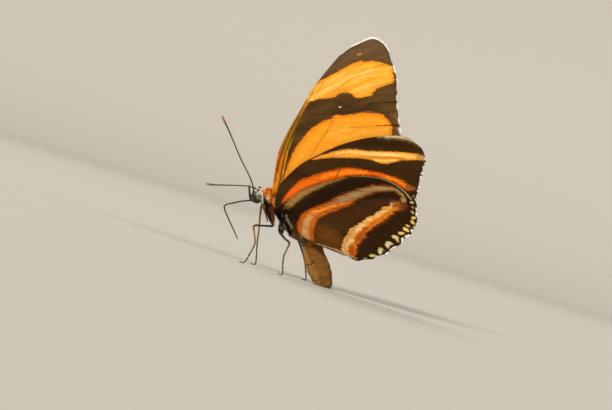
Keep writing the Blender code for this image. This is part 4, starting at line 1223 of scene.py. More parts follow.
def set_above_ground(mesh, places):
    """Puts a mesh's points at places in millimetres, none of them below the ground."""
    places[:, 2] = np.maximum(places[:, 2], GROUND)
    mesh.vertices.foreach_set("co", in_frame(places).ravel())
    mesh.update()


def lying(tailward, normals, lift):
    """The way hair lies: along the skin towards the tail, lifted off it a little."""
    flat = tailward - normals * np.sum(tailward * normals, axis=1)[:, None]
    length = np.maximum(np.linalg.norm(flat, axis=1), LEAST_FLAT)[:, None]
    lie = flat / length + normals * np.asarray(lift).reshape(-1, 1)
    return lie / np.linalg.norm(lie, axis=1)[:, None]


def inside_eyes(places):
    """Below one inside an eye, and more outside it."""
    x, y, z = EYE_AT
    shifted = np.stack([places[:, 0] - x, np.abs(places[:, 1]) - y, places[:, 2] - z], axis=1)
    return np.linalg.norm(shifted / np.array(EYE_RADII), axis=1)


def grown_copy(work, node):
    """Adds a copy of a solid, merged and grown a little, to the work in millimetres."""
    copy = bmesh.new()
    copy.from_mesh(NODES[node].data)
    bmesh.ops.remove_doubles(copy, verts=copy.verts, dist=MERGE_WITHIN * MM)
    bmesh.ops.scale(copy, vec=(1 / MM, 1 / MM, 1 / MM), verts=copy.verts)
    copy.normal_update()
    for vert in copy.verts:
        vert.co += vert.normal * BODY_GROWTH
    mesh = bpy.data.meshes.new(node + "_copy")
    copy.to_mesh(mesh)
    copy.free()
    work.from_mesh(mesh)
    bpy.data.meshes.remove(mesh)


def add_ball(work, centre, radii, segments=32, rings=20):
    """Adds an ellipsoid that leans by the body's pitch, in millimetres from the hinge."""
    lean = Matrix.Rotation(-BODY_PITCH, 4, "Y")
    place = Matrix.Translation(Vector(np.array(centre) + HINGE)) @ lean
    place = place @ Matrix.Diagonal((*radii, 1.0))
    bmesh.ops.create_uvsphere(work, u_segments=segments, v_segments=rings, radius=1.0, matrix=place)


def make_body_skin(material):
    """One closed skin over head, thorax and abdomen, with its markings and the lie of its hair."""
    work = bmesh.new()
    for node in ("head", "thorax", "abdomen"):
        grown_copy(work, node)
    for centre, radii in BODY_FILLERS:
        add_ball(work, centre, radii)
    mesh = bpy.data.meshes.new("body_skin")
    work.to_mesh(mesh)
    work.free()
    piece = add_piece("body_skin", mesh)
    shell = piece.modifiers.new("one_skin", "REMESH")
    shell.mode = "VOXEL"
    shell.voxel_size = BODY_VOXEL
    shell.use_smooth_shade = True
    ease = piece.modifiers.new("ease", "SMOOTH")
    ease.factor = SKIN_EASE
    ease.iterations = SKIN_EASES
    settle = piece.modifiers.new("settle", "DISPLACE")
    settle.mid_level = 0.0
    settle.strength = -BODY_SETTLE * BODY_GROWTH
    mesh = plain_mesh(piece)
    mesh.transform(Matrix.Scale(MM, 4))
    mesh.update()
    places, normals = from_hinge(mesh)
    run = body_frame(places)[1]
    ringed = (run - ABDOMEN_FROM) / (1.0 - ABDOMEN_FROM) * SEGMENTS
    off_ring = (ringed - np.round(ringed)) / GROOVE_SHARE
    groove = np.exp(-off_ring ** 2) * smooth_share(ringed, *FIRST_GROOVE)
    places -= normals * (groove * SEGMENT_GROOVE)[:, None]
    set_above_ground(mesh, places)
    normals = from_hinge(mesh)[1]
    ground = np.tile(np.array(colour(BODY_GROUND)), (len(places), 1))
    turn, run, tailward = body_frame(places)
    tints = paint(places, ground, BODY_MARKS)
    tints[:, :3] *= 1.0 - GROOVE_SHADE * groove[:, None]
    set_attribute(mesh, "tint", tints, "FLOAT_COLOR")
    set_unwrap(mesh, turn, run)
    set_attribute(mesh, "run", run)
    clear = (inside_eyes(places) > EYE_MARGIN).astype(float)
    tailed = smooth_share(places[:, 0], *(THORAX_END + fade for fade in THORAX_FADE))
    headed = 1.0 - smooth_share(places[:, 0], *(HEAD_END + fade for fade in HEAD_FADE))
    lie = lying(tailward, normals, HAIR_LIFT - LESS_LIFT * tailed)
    set_attribute(mesh, "lie", lie, "FLOAT_VECTOR")
    on_face = smooth_share(-places[:, 0], *FACE_FADE)
    at_tip = smooth_share(run, *TIP_FADE)
    length = THORAX_HAIR - LESS_ON_HEAD * headed - LESS_ON_ABDOMEN * tailed + MORE_AT_TIP * at_tip
    set_attribute(mesh, "hair_length", length * (1.0 - LESS_ON_FACE * on_face) * MM)
    set_attribute(mesh, "on_head", headed * clear)
    set_attribute(mesh, "on_thorax", (1.0 - headed) * (1.0 - tailed) * clear)
    set_attribute(mesh, "on_abdomen", tailed * (places[:, 2] > GROUND + BARE_ABOVE_GROUND))
    finish_piece(piece, material, "thorax_fur", "head", "thorax", "abdomen")
    return piece


# Tubes: feelers, mouthparts and legs.

def capped(path):
    """The path with a short rounded run added at both ends."""
    ends = []
    for end, before in ((path[0], path[1]), (path[-1], path[-2])):
        added = end.copy()
        heading = (end - before)[:3]
        added[:3] += heading / np.linalg.norm(heading) * end[3] * CAP_LENGTH
        added[3] *= CAP_WIDTH
        ends.append(added)
    return np.vstack([ends[0], path, ends[1]])


def tube(path, sides=TUBE_SIDES):
    """Points, faces, turn, run, tone and heading of a closed tube along (x, y, z, radius, tone)."""
    path = capped(path)
    centres = path[:, :3]
    along = headings_along(centres)
    across = np.cross(along[0], FIRST_ACROSS)
    angles = np.arange(sides) / sides * 2 * math.pi
    places = []
    for centre, heading, radius in zip(centres, along, path[:, 3]):
        across = across - heading * (across @ heading)
        across /= np.linalg.norm(across)
        other = np.cross(heading, across)
        ring = np.cos(angles)[:, None] * across + np.sin(angles)[:, None] * other
        places.append(centre + ring * radius)
    count = len(path)
    faces = []
    for ring in range(count - 1):
        for side in range(sides):
            here = ring * sides + side
            beside_it = ring * sides + (side + 1) % sides
            faces.append((here, beside_it, beside_it + sides, here + sides))
    ends = [
        centres[0] - along[0] * path[0][3] * CAP_POINT,
        centres[-1] + along[-1] * path[-1][3] * CAP_POINT,
    ]
    last_ring = (count - 1) * sides
    for side in range(sides):
        faces.append((side, count * sides, (side + 1) % sides))
        faces.append((last_ring + side, last_ring + (side + 1) % sides, count * sides + 1))
    places = np.vstack([*places, ends])
    ring_of = np.append(np.repeat(np.arange(count), sides), [0, count - 1])
    turn = np.append(np.tile(np.arange(sides) / sides, count), [0.0, 0.0])
    runs = runs_along(centres)
    return places, faces, turn, runs[ring_of], path[ring_of, 4], along[ring_of], path[ring_of, 3]


def tone_tints(tones):
    """Colours for tones from black over brown to orange brown."""
    black, brown, tan = (np.array(colour(text)) for text in BLACK_BROWN_TAN)
    dark = mixed(np.clip(tones * 2.0, 0.0, 1.0), black, brown)
    return mixed(np.clip(tones * 2.0 - 1.0, 0.0, 1.0), dark, np.tile(tan, (len(tones), 1)))


def tubes_mesh(name, paths, marks=(), ground_clearance=False):
    """A mesh of one or more closed tubes, with tints, an unwrap and the lie of their bristles."""
    gathered = [tube(path) for path in paths]
    places, faces, first = [], [], 0
    for made in gathered:
        places.append(made[0])
        faces.extend(tuple(index + first for index in face) for face in made[1])
        first += len(made[0])
    places = np.vstack(places)
    turn, run, tones, heading, radius = (
        np.concatenate([made[part] for made in gathered]) for part in (2, 3, 4, 5, 6)
    )
    if ground_clearance:
        places[:, 2] = np.maximum(places[:, 2], GROUND)
    mesh = new_mesh(name, places, faces)
    mesh.shade_smooth()
    normals = from_hinge(mesh)[1]
    set_attribute(mesh, "tint", paint(places, tone_tints(tones), marks), "FLOAT_COLOR")
    set_attribute(mesh, "run", run)
    set_attribute(mesh, "lie", lying(heading, normals, BRISTLE_LIFT), "FLOAT_VECTOR")
    thick = smooth_share(radius, *THICK_LEG)
    set_attribute(mesh, "hair_length", (BRISTLE_LENGTH + THICK_LEG_HAIR * thick) * MM)
    set_attribute(mesh, "hair_share", BRISTLE_SHARE + (1.0 - BRISTLE_SHARE) * thick)
    set_unwrap(mesh, turn, run / LONGEST_TUBE)
    return mesh


def resting_on_ground(path):
    """Lifts the path's low points so that the foot lies on the ground."""
    lifted = path.copy()
    lifted[:, 2] = np.maximum(lifted[:, 2], GROUND + lifted[:, 3] * FOOT_HEIGHT)
    return lifted


def foot_segments(path, start_share):
    """Swells a leg's last stretch into short segments, each widest at its end."""
    runs = runs_along(path[:, :3])
    start = runs[-1] * start_share
    on_foot = runs > start
    share = (runs - start) / (runs[-1] - start) * FOOT_SEGMENTS
    result = path.copy()
    result[on_foot, 3] *= SLIMMEST + SWELL * (share[on_foot] % 1.0) ** SWELL_POWER
    return result


def heading_and_side(path, before, after, up):
    """The direction between two points of a path, and the one square to it and to up."""
    heading = path[after][:3] - path[before][:3]
    heading /= np.linalg.norm(heading)
    sideways = np.cross(heading, up)
    return heading, sideways / np.linalg.norm(sideways)


def hooks(path):
    """Two small claws at the end of a foot."""
    tip = path[-1][:3]
    heading, sideways = heading_and_side(path, -4, -1, (0.0, 0.0, 1.0))
    made = []
    for side in SIDES:
        points = [
            (*(tip + heading * ahead + sideways * side * aside + (0, 0, rise)), radius, 0.0)
            for ahead, aside, rise, radius in CLAW
        ]
        made.append(resting_on_ground(smooth_path(points, 0.05)))
    return made


def spurs(path, index):
    """Two short spines where the shin ends."""
    place = path[index][:3]
    heading, sideways = heading_and_side(path, index - 3, index + 3, (0.3, 0.9, 0.1))
    made = []
    for side in SIDES:
        reach = heading * SPUR_AHEAD + sideways * side * SPUR_ASIDE
        points = [(*(place + reach * share), radius, tone) for share, radius, tone in SPUR]
        made.append(smooth_path(points, 0.08))
    return made


def make_leg(name, material):
    """One leg, with its foot, claws and spurs where it walks."""
    points, side, foot_from = LEGS[name]
    placed = [(x, y * side, z, radius, tone) for x, y, z, radius, tone in points]
    path = smooth_path(placed, TUBE_STEP)
    paths = [path]
    if foot_from:
        runs = runs_along(np.array(placed)[:, :3])
        share = float(runs[foot_from] / runs[-1])
        path = resting_on_ground(foot_segments(path, share))
        shin_end = int(share * len(path))
        paths = [path, *hooks(path), *spurs(path, shin_end)]
    marks = LEG_MARKS.get(name.split("_")[0], ())
    mesh = tubes_mesh(name + "_bristled", paths, marks, ground_clearance=True)
    piece = add_piece(name + "_bristled", mesh)
    finish_piece(piece, material, "leg", name)
    return piece


def make_feeler(name, points, slot, material, ringed, marks=()):
    """A feeler or mouthpart, with fine rings where it has them."""
    path = smooth_path(points, TUBE_STEP / 2 if ringed else TUBE_STEP)
    if ringed:
        path[:, 3] *= 1.0 + RING_HEIGHT * np.cos(2 * math.pi * runs_along(path[:, :3]) / RING_PITCH)
    piece = add_piece(name + "_shaft", tubes_mesh(name + "_shaft", [path], marks))
    finish_piece(piece, material, slot, name)
    return piece


# Tufts, set by geometry nodes on a skin.

def tuft_shape():
    """A narrow three-sided blade of hair, one long, that rises and then bends along the skin."""
    places, unwrapped = [], []
    for run, half_width, height in TUFT_RINGS:
        low = height - CORNER_DIP * half_width
        places.extend([
            (-half_width, low, run), (half_width, low, run),
            (0.0, height + RIDGE_STAND * half_width, run),
        ])
        unwrapped.extend([(0.0, run), (1.0, run), (0.5, run)])
    places.append(TUFT_TIP)
    unwrapped.append((0.5, 1.0))
    faces = [(0, 1, 4, 3), (1, 2, 5, 4), (2, 0, 3, 5), (3, 4, 6), (4, 5, 6), (5, 3, 6), (2, 1, 0)]
    mesh = bpy.data.meshes.new("tuft")
    mesh.from_pydata(places, [], faces)
    face_outwards(mesh)
    layer = mesh.uv_layers.new(name="tuft_unwrap")
    for loop in mesh.loops:
        layer.data[loop.index].uv = unwrapped[loop.vertex_index]
    set_attribute(mesh, "tip", [place[2] for place in places])
    mesh.shade_smooth()
    return add_piece("tuft", mesh)


def tuft_tree():
    """Sets tufts on a skin, each lying as the skin's lie attribute says."""
    tree = bpy.data.node_groups.new("tufts on a skin", "GeometryNodeTree")
    sockets = [
        ("Skin", "NodeSocketGeometry"), ("Tuft", "NodeSocketObject"), ("Where", "NodeSocketString"),
        ("Tufts per square metre", "NodeSocketFloat"), ("Tuft width", "NodeSocketFloat"),
        ("Ruffle", "NodeSocketFloat"), ("Seed", "NodeSocketInt"), ("Finish", "NodeSocketMaterial"),
    ]
    for name, kind in sockets:
        tree.interface.new_socket(name, in_out="INPUT", socket_type=kind)
    tree.interface.new_socket("Tufts", in_out="OUTPUT", socket_type="NodeSocketGeometry")
    given = tree.nodes.new("NodeGroupInput").outputs
    share, length = [
        add(tree, NAMED, {"Name": name}, data_type="FLOAT")["Attribute"]
        for name in (given["Where"], "hair_length")
    ]
    lie, skin_unwrap, tuft_unwrap, root = [
        add(tree, NAMED, {"Name": name}, data_type="FLOAT_VECTOR")["Attribute"]
        for name in ("lie", "unwrap", "tuft_unwrap", "root")
    ]
    longer, wider = [
        add(tree, RANDOM, {2: low, 3: high, "Seed": seed}, data_type="FLOAT")[1]
        for (low, high), seed in ((LENGTHS_FROM_TO, 12), (WIDTHS_FROM_TO, 13))
    ]
    every_way = {0: (-1.0, -1.0, -1.0), 1: (1.0, 1.0, 1.0), "Seed": 11}
    shake = add(tree, RANDOM, every_way, data_type="FLOAT_VECTOR")[0]
    # Where each tuft stands.
    density = add(tree, MATH, {0: share, 1: given["Tufts per square metre"]}, operation="MULTIPLY")[0]
    skin = {"Mesh": given["Skin"], "Density": density, "Seed": given["Seed"]}
    roots = add(tree, "GeometryNodeDistributePointsOnFaces", skin, distribute_method="RANDOM")
    rooted = {"Geometry": roots["Points"], "Name": "root", "Value": skin_unwrap}
    rooted = add(tree, STORE, rooted, data_type="FLOAT_VECTOR", domain="POINT")[0]
    # How it lies, and its size.
    ruffled = add(tree, VECTOR_MATH, {0: shake, "Scale": given["Ruffle"]}, operation="SCALE")[0]
    lie = add(tree, VECTOR_MATH, {0: lie, 1: ruffled}, operation="ADD")[0]
    pointed = add(tree, TURN, {"Vector": lie}, axis="Z")[0]
    upright = {"Rotation": pointed, "Vector": roots["Normal"]}
    turned = add(tree, TURN, upright, axis="Y", pivot_axis="Z")[0]
    length = add(tree, MATH, {0: length, 1: longer}, operation="MULTIPLY")[0]
    width = add(tree, MATH, {0: given["Tuft width"], 1: wider}, operation="MULTIPLY")[0]
    size = add(tree, "ShaderNodeCombineXYZ", {"X": width, "Y": width, "Z": length})[0]
    tuft = add(tree, "GeometryNodeObjectInfo", {"Object": given["Tuft"]})["Geometry"]
    placed = add(tree, "GeometryNodeInstanceOnPoints", {
        "Points": rooted, "Instance": tuft, "Rotation": turned, "Scale": size,
    })[0]
    real = add(tree, "GeometryNodeRealizeInstances", {"Geometry": placed})[0]
    # Where it takes its colour on the bake map.
    patch = add(tree, VECTOR_MATH, {0: tuft_unwrap, "Scale": TUFT_PATCH}, operation="SCALE")[0]
    on_map = add(tree, VECTOR_MATH, {0: root, 1: patch}, operation="ADD")[0]
    mapped = {"Geometry": real, "Name": "OFBake", "Value": on_map}
    mapped = add(tree, STORE, mapped, data_type="FLOAT2", domain="CORNER")[0]
    finish = {"Geometry": mapped, "Material": given["Finish"]}
    finished = add(tree, "GeometryNodeSetMaterial", finish)[0]
    output = tree.nodes.new("NodeGroupOutput")
    tree.links.new(finished, output.inputs["Tufts"])
    return tree


def make_coat(name, skin_mesh, slot, material, where, per_mm2, width_mm, ruffle, seed):
    """A coat of tufts over a skin, as one plain mesh."""
    tree = bpy.data.node_groups.get("tufts on a skin") or tuft_tree()
    tuft = bpy.data.objects.get("tuft") or tuft_shape()
    piece = add_piece(name, skin_mesh.copy())
    grow = piece.modifiers.new("tufts", "NODES")
    grow.node_group = tree
    values = {
        "Tuft": tuft, "Where": where, "Tufts per square metre": per_mm2 / MM ** 2,
        "Tuft width": width_mm * MM, "Ruffle": ruffle, "Seed": seed, "Finish": material,
    }
    for item in tree.interface.items_tree:
        if item.in_out == "INPUT" and item.name in values:
            grow[item.identifier] = values[item.name]
    mesh = plain_mesh(piece)
    for attribute in [a.name for a in mesh.attributes if a.name not in KEPT_ON_TUFTS]:
        found = mesh.attributes.get(attribute)
        if found and not attribute.startswith("."):
            mesh.attributes.remove(found)
    mesh.shade_smooth()
    set_above_ground(mesh, from_hinge(mesh)[0])
    finish_piece(piece, material, slot)


def fur_material(name, roughness, sheen):
    """Hair-like scales: soft matt strands with a faint silky edge, with painted shade that darkens them
    towards their roots.
    """
    made, tree, shader = new_material(name, {
        "Roughness": roughness, "Specular IOR Level": 0.2, "Sheen Weight": sheen,
        "Sheen Roughness": 0.35,
    })
    place = add(tree, PLACE)["Object"]
    # Speckles are 0.2 mm across, a few hairs together, and patches are about 1 mm.
    speckle = add(tree, NOISE, {"Vector": place, "Scale": 5.2 / MM, "Detail": 1.0})[0]
    patches = add(tree, NOISE, {"Vector": place, "Scale": 0.9 / MM, "Detail": 2.0})[0]
    tip = add(tree, ATTRIBUTE, attribute_name="tip")["Fac"]
    # The run from root to tip is painted shade and light: darker at the roots, where the hairs shade one
    # another, and a little lighter at the tips.
    shade = shaded_tint(tree, [
        (speckle, 0.3, 0.7, 0.85, 1.25), (patches, 0.3, 0.7, 0.85, 1.12), (tip, 0.0, 0.6, 0.88, 1.1),
    ])
    finish_material(tree, shader, shade)
    return made


def hair():
    """The material of the hair-like scales, made once."""
    name = "hair-like scales"
    return bpy.data.materials.get(name) or fur_material(name, 0.6, 0.06)


def skin_material(name, scale_mm, roughness):
    """Hard cuticle under scales: satin, finely shingled, in the tints of its markings."""
    made, tree, shader = new_material(name, {
        "Roughness": roughness, "Specular IOR Level": 0.3,
    })
    place = add(tree, PLACE)["Object"]
    cells = {"Vector": place, "Scale": 1.0 / (scale_mm * MM)}
    shingles = add(tree, CELLS, cells, feature="F1")["Distance"]
    patches = add(tree, NOISE, {"Vector": place, "Scale": 1.4 / MM, "Detail": 3.0})[0]
    sunk = add(tree, MATH, {0: shingles, 1: -1.0}, operation="MULTIPLY")[0]
    height = add(tree, MATH, {0: sunk, 1: patches}, operation="ADD")[0]
    shade = shaded_tint(tree, [(patches, 0.3, 0.7, 0.8, 1.2), (shingles, 0.0, 0.8, 1.1, 0.8)])
    finish_material(tree, shader, shade, height, 0.6, 0.04)
    return made


def eye_material():
    """Faceted lens: glassy clear cornea over dark pigment flecked with greenish grey, and pale threads of
    painted highlight on its upper half.
    """
    made, tree, shader = new_material("faceted eye lens", {
        "Roughness": 0.3, "Specular IOR Level": 0.35, "Coat Weight": 0.12, "Coat Roughness": 0.12,
    })
    place = add(tree, PLACE)["Object"]
    patches, flecks, threads = [
        add(tree, NOISE, {"Vector": place, "Scale": per_mm / MM, "Detail": detail})[0]
        for per_mm, detail in ((1.5, 3.0), (3.2, 3.0), (1.9, 2.0))
    ]
    share = add(tree, RANGE, {0: patches, 1: 0.42, 2: 0.64}, interpolation_type=SMOOTH)[0]
    pigments = {0: share, 6: colour("#100E09"), 7: colour("#35321F")}
    pigment = add(tree, MIX, pigments, data_type="RGBA")[2]
    runs = {0: flecks, 1: 0.56, 2: 0.68, 3: 0.0, 4: 0.7}
    share = add(tree, RANGE, runs, interpolation_type=SMOOTH)[0]
    flecked = add(tree, MIX, {0: share, 6: pigment, 7: colour("#7C8066")}, data_type="RGBA")[2]
    # Painted highlight: pale threads run where one noise crosses its middle value, so that they branch
    # and break off, and only on the upper half, where the light catches the eye.
    off_middle = add(tree, MATH, {0: threads, 1: 0.5}, operation="SUBTRACT")[0]
    off_middle = add(tree, MATH, {0: off_middle}, operation="ABSOLUTE")[0]
    runs = {0: off_middle, 1: 0.015, 2: 0.05, 3: 1.0, 4: 0.0}
    lines = add(tree, RANGE, runs, interpolation_type=SMOOTH)[0]
    where = add(tree, "ShaderNodeSeparateXYZ", {0: place})
    raised = add(tree, MATH, {0: where["X"], 1: where["Z"]}, operation="ADD")[0]
    level = (HINGE[0] + HINGE[2] + EYE_AT[0] + EYE_AT[2]) * MM
    runs = {0: raised, 1: level - 0.2 * MM, 2: level + 0.9 * MM}
    glint_side = add(tree, RANGE, runs, interpolation_type=SMOOTH)[0]
    share = add(tree, MATH, {0: lines, 1: glint_side}, operation="MULTIPLY")[0]
    mottled_with_glints = add(tree, MIX, {0: share, 6: flecked, 7: colour("#F2F2DE")}, data_type="RGBA")[2]
    # Real facets are 0.02 mm across; they are drawn at 0.07 mm so that they show close up.
    facets = add(tree, CELLS, {"Vector": place, "Scale": 14.0 / MM})["Distance"]
    finish_material(tree, shader, mottled_with_glints, facets, 0.5, 0.01)
    return made


def make_eyes():
    """Both eyes, as leaning ellipsoids."""
    material = eye_material()
    for side in SIDES:
        name = with_side("eye", side)
        work = bmesh.new()
        x, y, z = EYE_AT
        add_ball(work, (x, side * y, z), EYE_RADII, segments=48, rings=32)
        bmesh.ops.scale(work, vec=(MM, MM, MM), verts=work.verts)
        mesh = bpy.data.meshes.new(name)
        work.to_mesh(mesh)
        work.free()
        mesh.shade_smooth()
        finish_piece(add_piece(name + "_lens", mesh), material, "eye", name)


def whiteness(line, spots):
    """How white the fringe is along a margin, at its white spots and painted edge highlights, and how
    long it stands there.
    """
    runs = runs_along(line)
    white = np.zeros(len(line))
    size = np.zeros(len(line))
    for start, end, radius in spots:
        away = [np.linalg.norm(line - on_wing(place), axis=1) for place in (start, end)]
        if min(away[0].min(), away[1].min()) > SPOT_REACH:
            continue
        low, high = sorted(runs[np.argmin(distance)] for distance in away)
        beyond = np.maximum(low - runs, runs - high)
        share = 1.0 - smooth_share(beyond, *SPOT_FADE)
        white = np.maximum(white, share * min(1.0, radius / FULL_WHITE))
        size = np.maximum(size, share * radius / WIDEST_SPOT)
    return white, size


def fringe_ribbon(name, kind, outline, side):
    """A narrow ribbon along a wing's margin on which its fringe is set."""
    wing = WINGS[kind]
    first, last = wing["margin"]
    margin = smooth_path(wing["outline"][first:last + 1], 0.3)
    near = away_from_line(closed_line(outline), margin) < FRINGE_REACH
    start = int(np.argmax(near & ~np.roll(near, 1)))
    line = np.roll(outline, -start, axis=0)
    line = line[away_from_line(line, margin) < FRINGE_REACH]
    line = smooth_path(line[::2], FRINGE_STEP)
    outward = turned_square(headings_along(line))
    middle = off_midline(line, wing["off"], wing["root"])
    places = []
    for half in (-0.5, 0.5):
        out = side * (middle + half * FRINGE_BASE)
        places.append(np.stack([line[:, 0], out, line[:, 1]], axis=1))
    count = len(line)
    faces = [(i, i + 1, count + i + 1, count + i) for i in range(count - 1)]
    mesh = new_mesh(name, np.vstack(places), faces)
    heading = np.stack([outward[:, 0], np.zeros(count), outward[:, 1]], axis=1)
    # The fringe turns white at its white spots and at the painted edge highlights.
    pale, size = whiteness(line, wing["spots"])
    dark = np.tile(np.array(colour(FRINGE_DARK)), (count, 1))
    tints = mixed(pale, dark, np.array(colour(FRINGE_WHITE)))
    run = np.arange(count) * FRINGE_STEP / LONGEST_MARGIN
    set_attribute(mesh, "tint", np.vstack([tints, tints]), "FLOAT_COLOR")
    set_attribute(mesh, "lie", np.vstack([heading, heading]), "FLOAT_VECTOR")
    from_end = np.minimum(np.arange(count), np.arange(count)[::-1]) * FRINGE_STEP
    grown = SHORTEST_FRINGE + (1.0 - SHORTEST_FRINGE) * size
    length = FRINGE_LENGTH * grown * smooth_share(from_end, 0.0, FRINGE_FADE) * MM
    set_attribute(mesh, "hair_length", np.append(length, length))
    set_attribute(mesh, "everywhere", np.ones(2 * count))
    set_unwrap(mesh, np.repeat(FRINGE_ACROSS, count), np.tile(run, 2))
    return mesh


# What a user would change.

def tint_setting(name, description, hex_text):
    """A colour that a user can change."""
    return bpy.props.FloatVectorProperty(
        name=name, description=description, default=colour(hex_text), size=4, min=0.0, max=1.0,
        subtype="COLOR",
    )


class WingSettings(bpy.types.PropertyGroup):
    """Thickness and ground colours of the wings"""

    forewing_ground: tint_setting("Forewing ground", "Brown of the forewing between its bands", "#5C4222")
    hindwing_ground: tint_setting("Hindwing ground", "Brown of the hindwing between its bands", "#3F280C")
    vein_thickness: bpy.props.FloatProperty(
        name="Vein thickness", description="Thickness of a wing at its veins",
        default=0.3 * MM, unit="LENGTH",
    )
    membrane_thickness: bpy.props.FloatProperty(
        name="Membrane thickness", description="Thickness of a wing between its veins",
        default=0.2 * MM, unit="LENGTH",
    )


class CoatSettings(bpy.types.PropertyGroup):
    """How thickly each part is haired, in tufts to the square millimetre"""

    tufts_per_mm2: bpy.props.FloatProperty(
        name="Tufts on the body", description="Tufts on each square millimetre of the thorax",
        default=100.0, min=0.0,
    )
    palp_tufts_per_mm2: bpy.props.FloatProperty(
        name="Tufts on the palps", description="Tufts on each square millimetre of a palp",
        default=260.0, min=0.0,
    )
    leg_tufts_per_mm2: bpy.props.FloatProperty(
        name="Bristles", description="Bristles on each square millimetre of a leg",
        default=110.0, min=0.0,
    )
    fringe_tufts_per_mm2: bpy.props.FloatProperty(
        name="Fringe", description="Tufts on each square millimetre of a wing's edge",
        default=820.0, min=0.0,
    )


class StageSettings(bpy.types.PropertyGroup):
    """Floor, light and lens"""

    floor_colour: tint_setting("Floor", "Colour of the paper floor", "#B4AFA5")
    lens: bpy.props.FloatProperty(
        name="Lens", description="Focal length of the camera, for a sensor 36 mm wide",
        default=155.0, unit="CAMERA",
    )
    key_strength: bpy.props.FloatProperty(
        name="Key light", description="Strength of the soft key light in watts a square metre",
        default=2.2, min=0.0,
    )


# One operator for each group of pieces, and one for the stage.

class BUTTERFLY_OT_forewings(bpy.types.Operator):
    """Builds both forewings with their banded pattern"""

    bl_idname = "butterfly.forewings"
    bl_label = "Forewings"

    def execute(self, context):
        make_wings("forewing", context.scene.butterfly_wings)
        return {"FINISHED"}


class BUTTERFLY_OT_hindwings(bpy.types.Operator):
    """Builds both hindwings with their banded pattern"""

    bl_idname = "butterfly.hindwings"
    bl_label = "Hindwings"

    def execute(self, context):
        make_wings("hindwing", context.scene.butterfly_wings)
        return {"FINISHED"}


class BUTTERFLY_OT_body(bpy.types.Operator):
    """Builds the skin of the body, its fur and its scales"""

    bl_idname = "butterfly.body"
    bl_label = "Body"

    def execute(self, context):
        thickness = context.scene.butterfly_coat.tufts_per_mm2
        skin = make_body_skin(skin_material("scaled cuticle", 0.16, 0.55))
        flat = fur_material("flat body scales", 0.5, 0.05)
        # Each coat: its name, where it grows, its share of the tufts, their width in millimetres,
        # how ruffled they lie, their material and their seed.
        for name, where, share, width, ruffle, finish, seed in (
            ("thorax_fur", "on_thorax", 1.0, 0.1, 0.3, hair(), 21),
            ("head_fur", "on_head", 1.3, 0.07, 0.35, hair(), 22),
            ("abdomen_scales", "on_abdomen", 0.7, 0.13, 0.12, flat, 23),
        ):
            make_coat(name, skin.data, name, finish, where, thickness * share, width, ruffle, seed)
        return {"FINISHED"}


class BUTTERFLY_OT_eyes(bpy.types.Operator):
    """Builds both eyes"""

    bl_idname = "butterfly.eyes"
    bl_label = "Eyes"

    def execute(self, context):
        make_eyes()
        return {"FINISHED"}


class BUTTERFLY_OT_feelers(bpy.types.Operator):
    """Builds the antennae, the palps with their tufts and the proboscis"""

    bl_idname = "butterfly.feelers"
    bl_label = "Feelers and mouthparts"

    def execute(self, context):
        thickness = context.scene.butterfly_coat.palp_tufts_per_mm2
        horn = skin_material("dark ringed horn", 0.1, 0.38)
        ringed = {"antenna_left": ANTENNA_NEAR, "antenna_right": ANTENNA_FAR, "proboscis": PROBOSCIS}
        for name, points in ringed.items():
            make_feeler(name, points, "feeler", horn, ringed=True)
        for side in SIDES:
            name = with_side("palp", side)
            points = [(x, -side * y, z, radius, tone) for x, y, z, radius, tone in PALP]
            skin = make_feeler(name, points, "palp", horn, ringed=False, marks=PALP_MARKS).data
            make_coat(
                name + "_tufts", skin, "palp", hair(), "hair_share", thickness,
                width_mm=0.06, ruffle=0.3, seed=31 + side,
            )
        return {"FINISHED"}


class BUTTERFLY_OT_legs(bpy.types.Operator):
    """Builds the six legs with their bristles, feet and claws"""

    bl_idname = "butterfly.legs"
    bl_label = "Legs"

    def execute(self, context):
        thickness = context.scene.butterfly_coat.leg_tufts_per_mm2
        shell = skin_material("leg cuticle", 0.12, 0.42)
        for index, name in enumerate(LEGS):
            skin = make_leg(name, shell).data
            make_coat(
                name + "_bristles", skin, "leg", hair(), "hair_share", thickness,
                width_mm=0.05, ruffle=0.25, seed=41 + index,
            )
        return {"FINISHED"}


class BUTTERFLY_OT_fringes(bpy.types.Operator):
    """Builds the fringe of hair-like scales along the wings' margins"""

    bl_idname = "butterfly.fringes"
    bl_label = "Fringes"

    def execute(self, context):
        thickness = context.scene.butterfly_coat.fringe_tufts_per_mm2
        outlines = {kind: wing_outline(kind) for kind in WINGS}
        for side in SIDES:
            for kind, outline in outlines.items():
                name = with_side(kind + "_fringe", side)
                ribbon = fringe_ribbon(name, kind, outline, side)
                make_coat(
                    name, ribbon, kind, hair(), "everywhere", thickness,
                    width_mm=0.08, ruffle=0.1, seed=51 + side,
                )
        return {"FINISHED"}


class BUTTERFLY_OT_stage(bpy.types.Operator):
    """Sets up the floor, the lights and the camera"""

    bl_idname = "butterfly.stage"
    bl_label = "Stage"

    def execute(self, context):
        settings = context.scene.butterfly_stage
        make_floor(settings)
        make_lights(settings)
        make_camera(settings)
        context.scene.view_settings.view_transform = "Standard"
        return {"FINISHED"}


# Stage: floor, lights and camera.

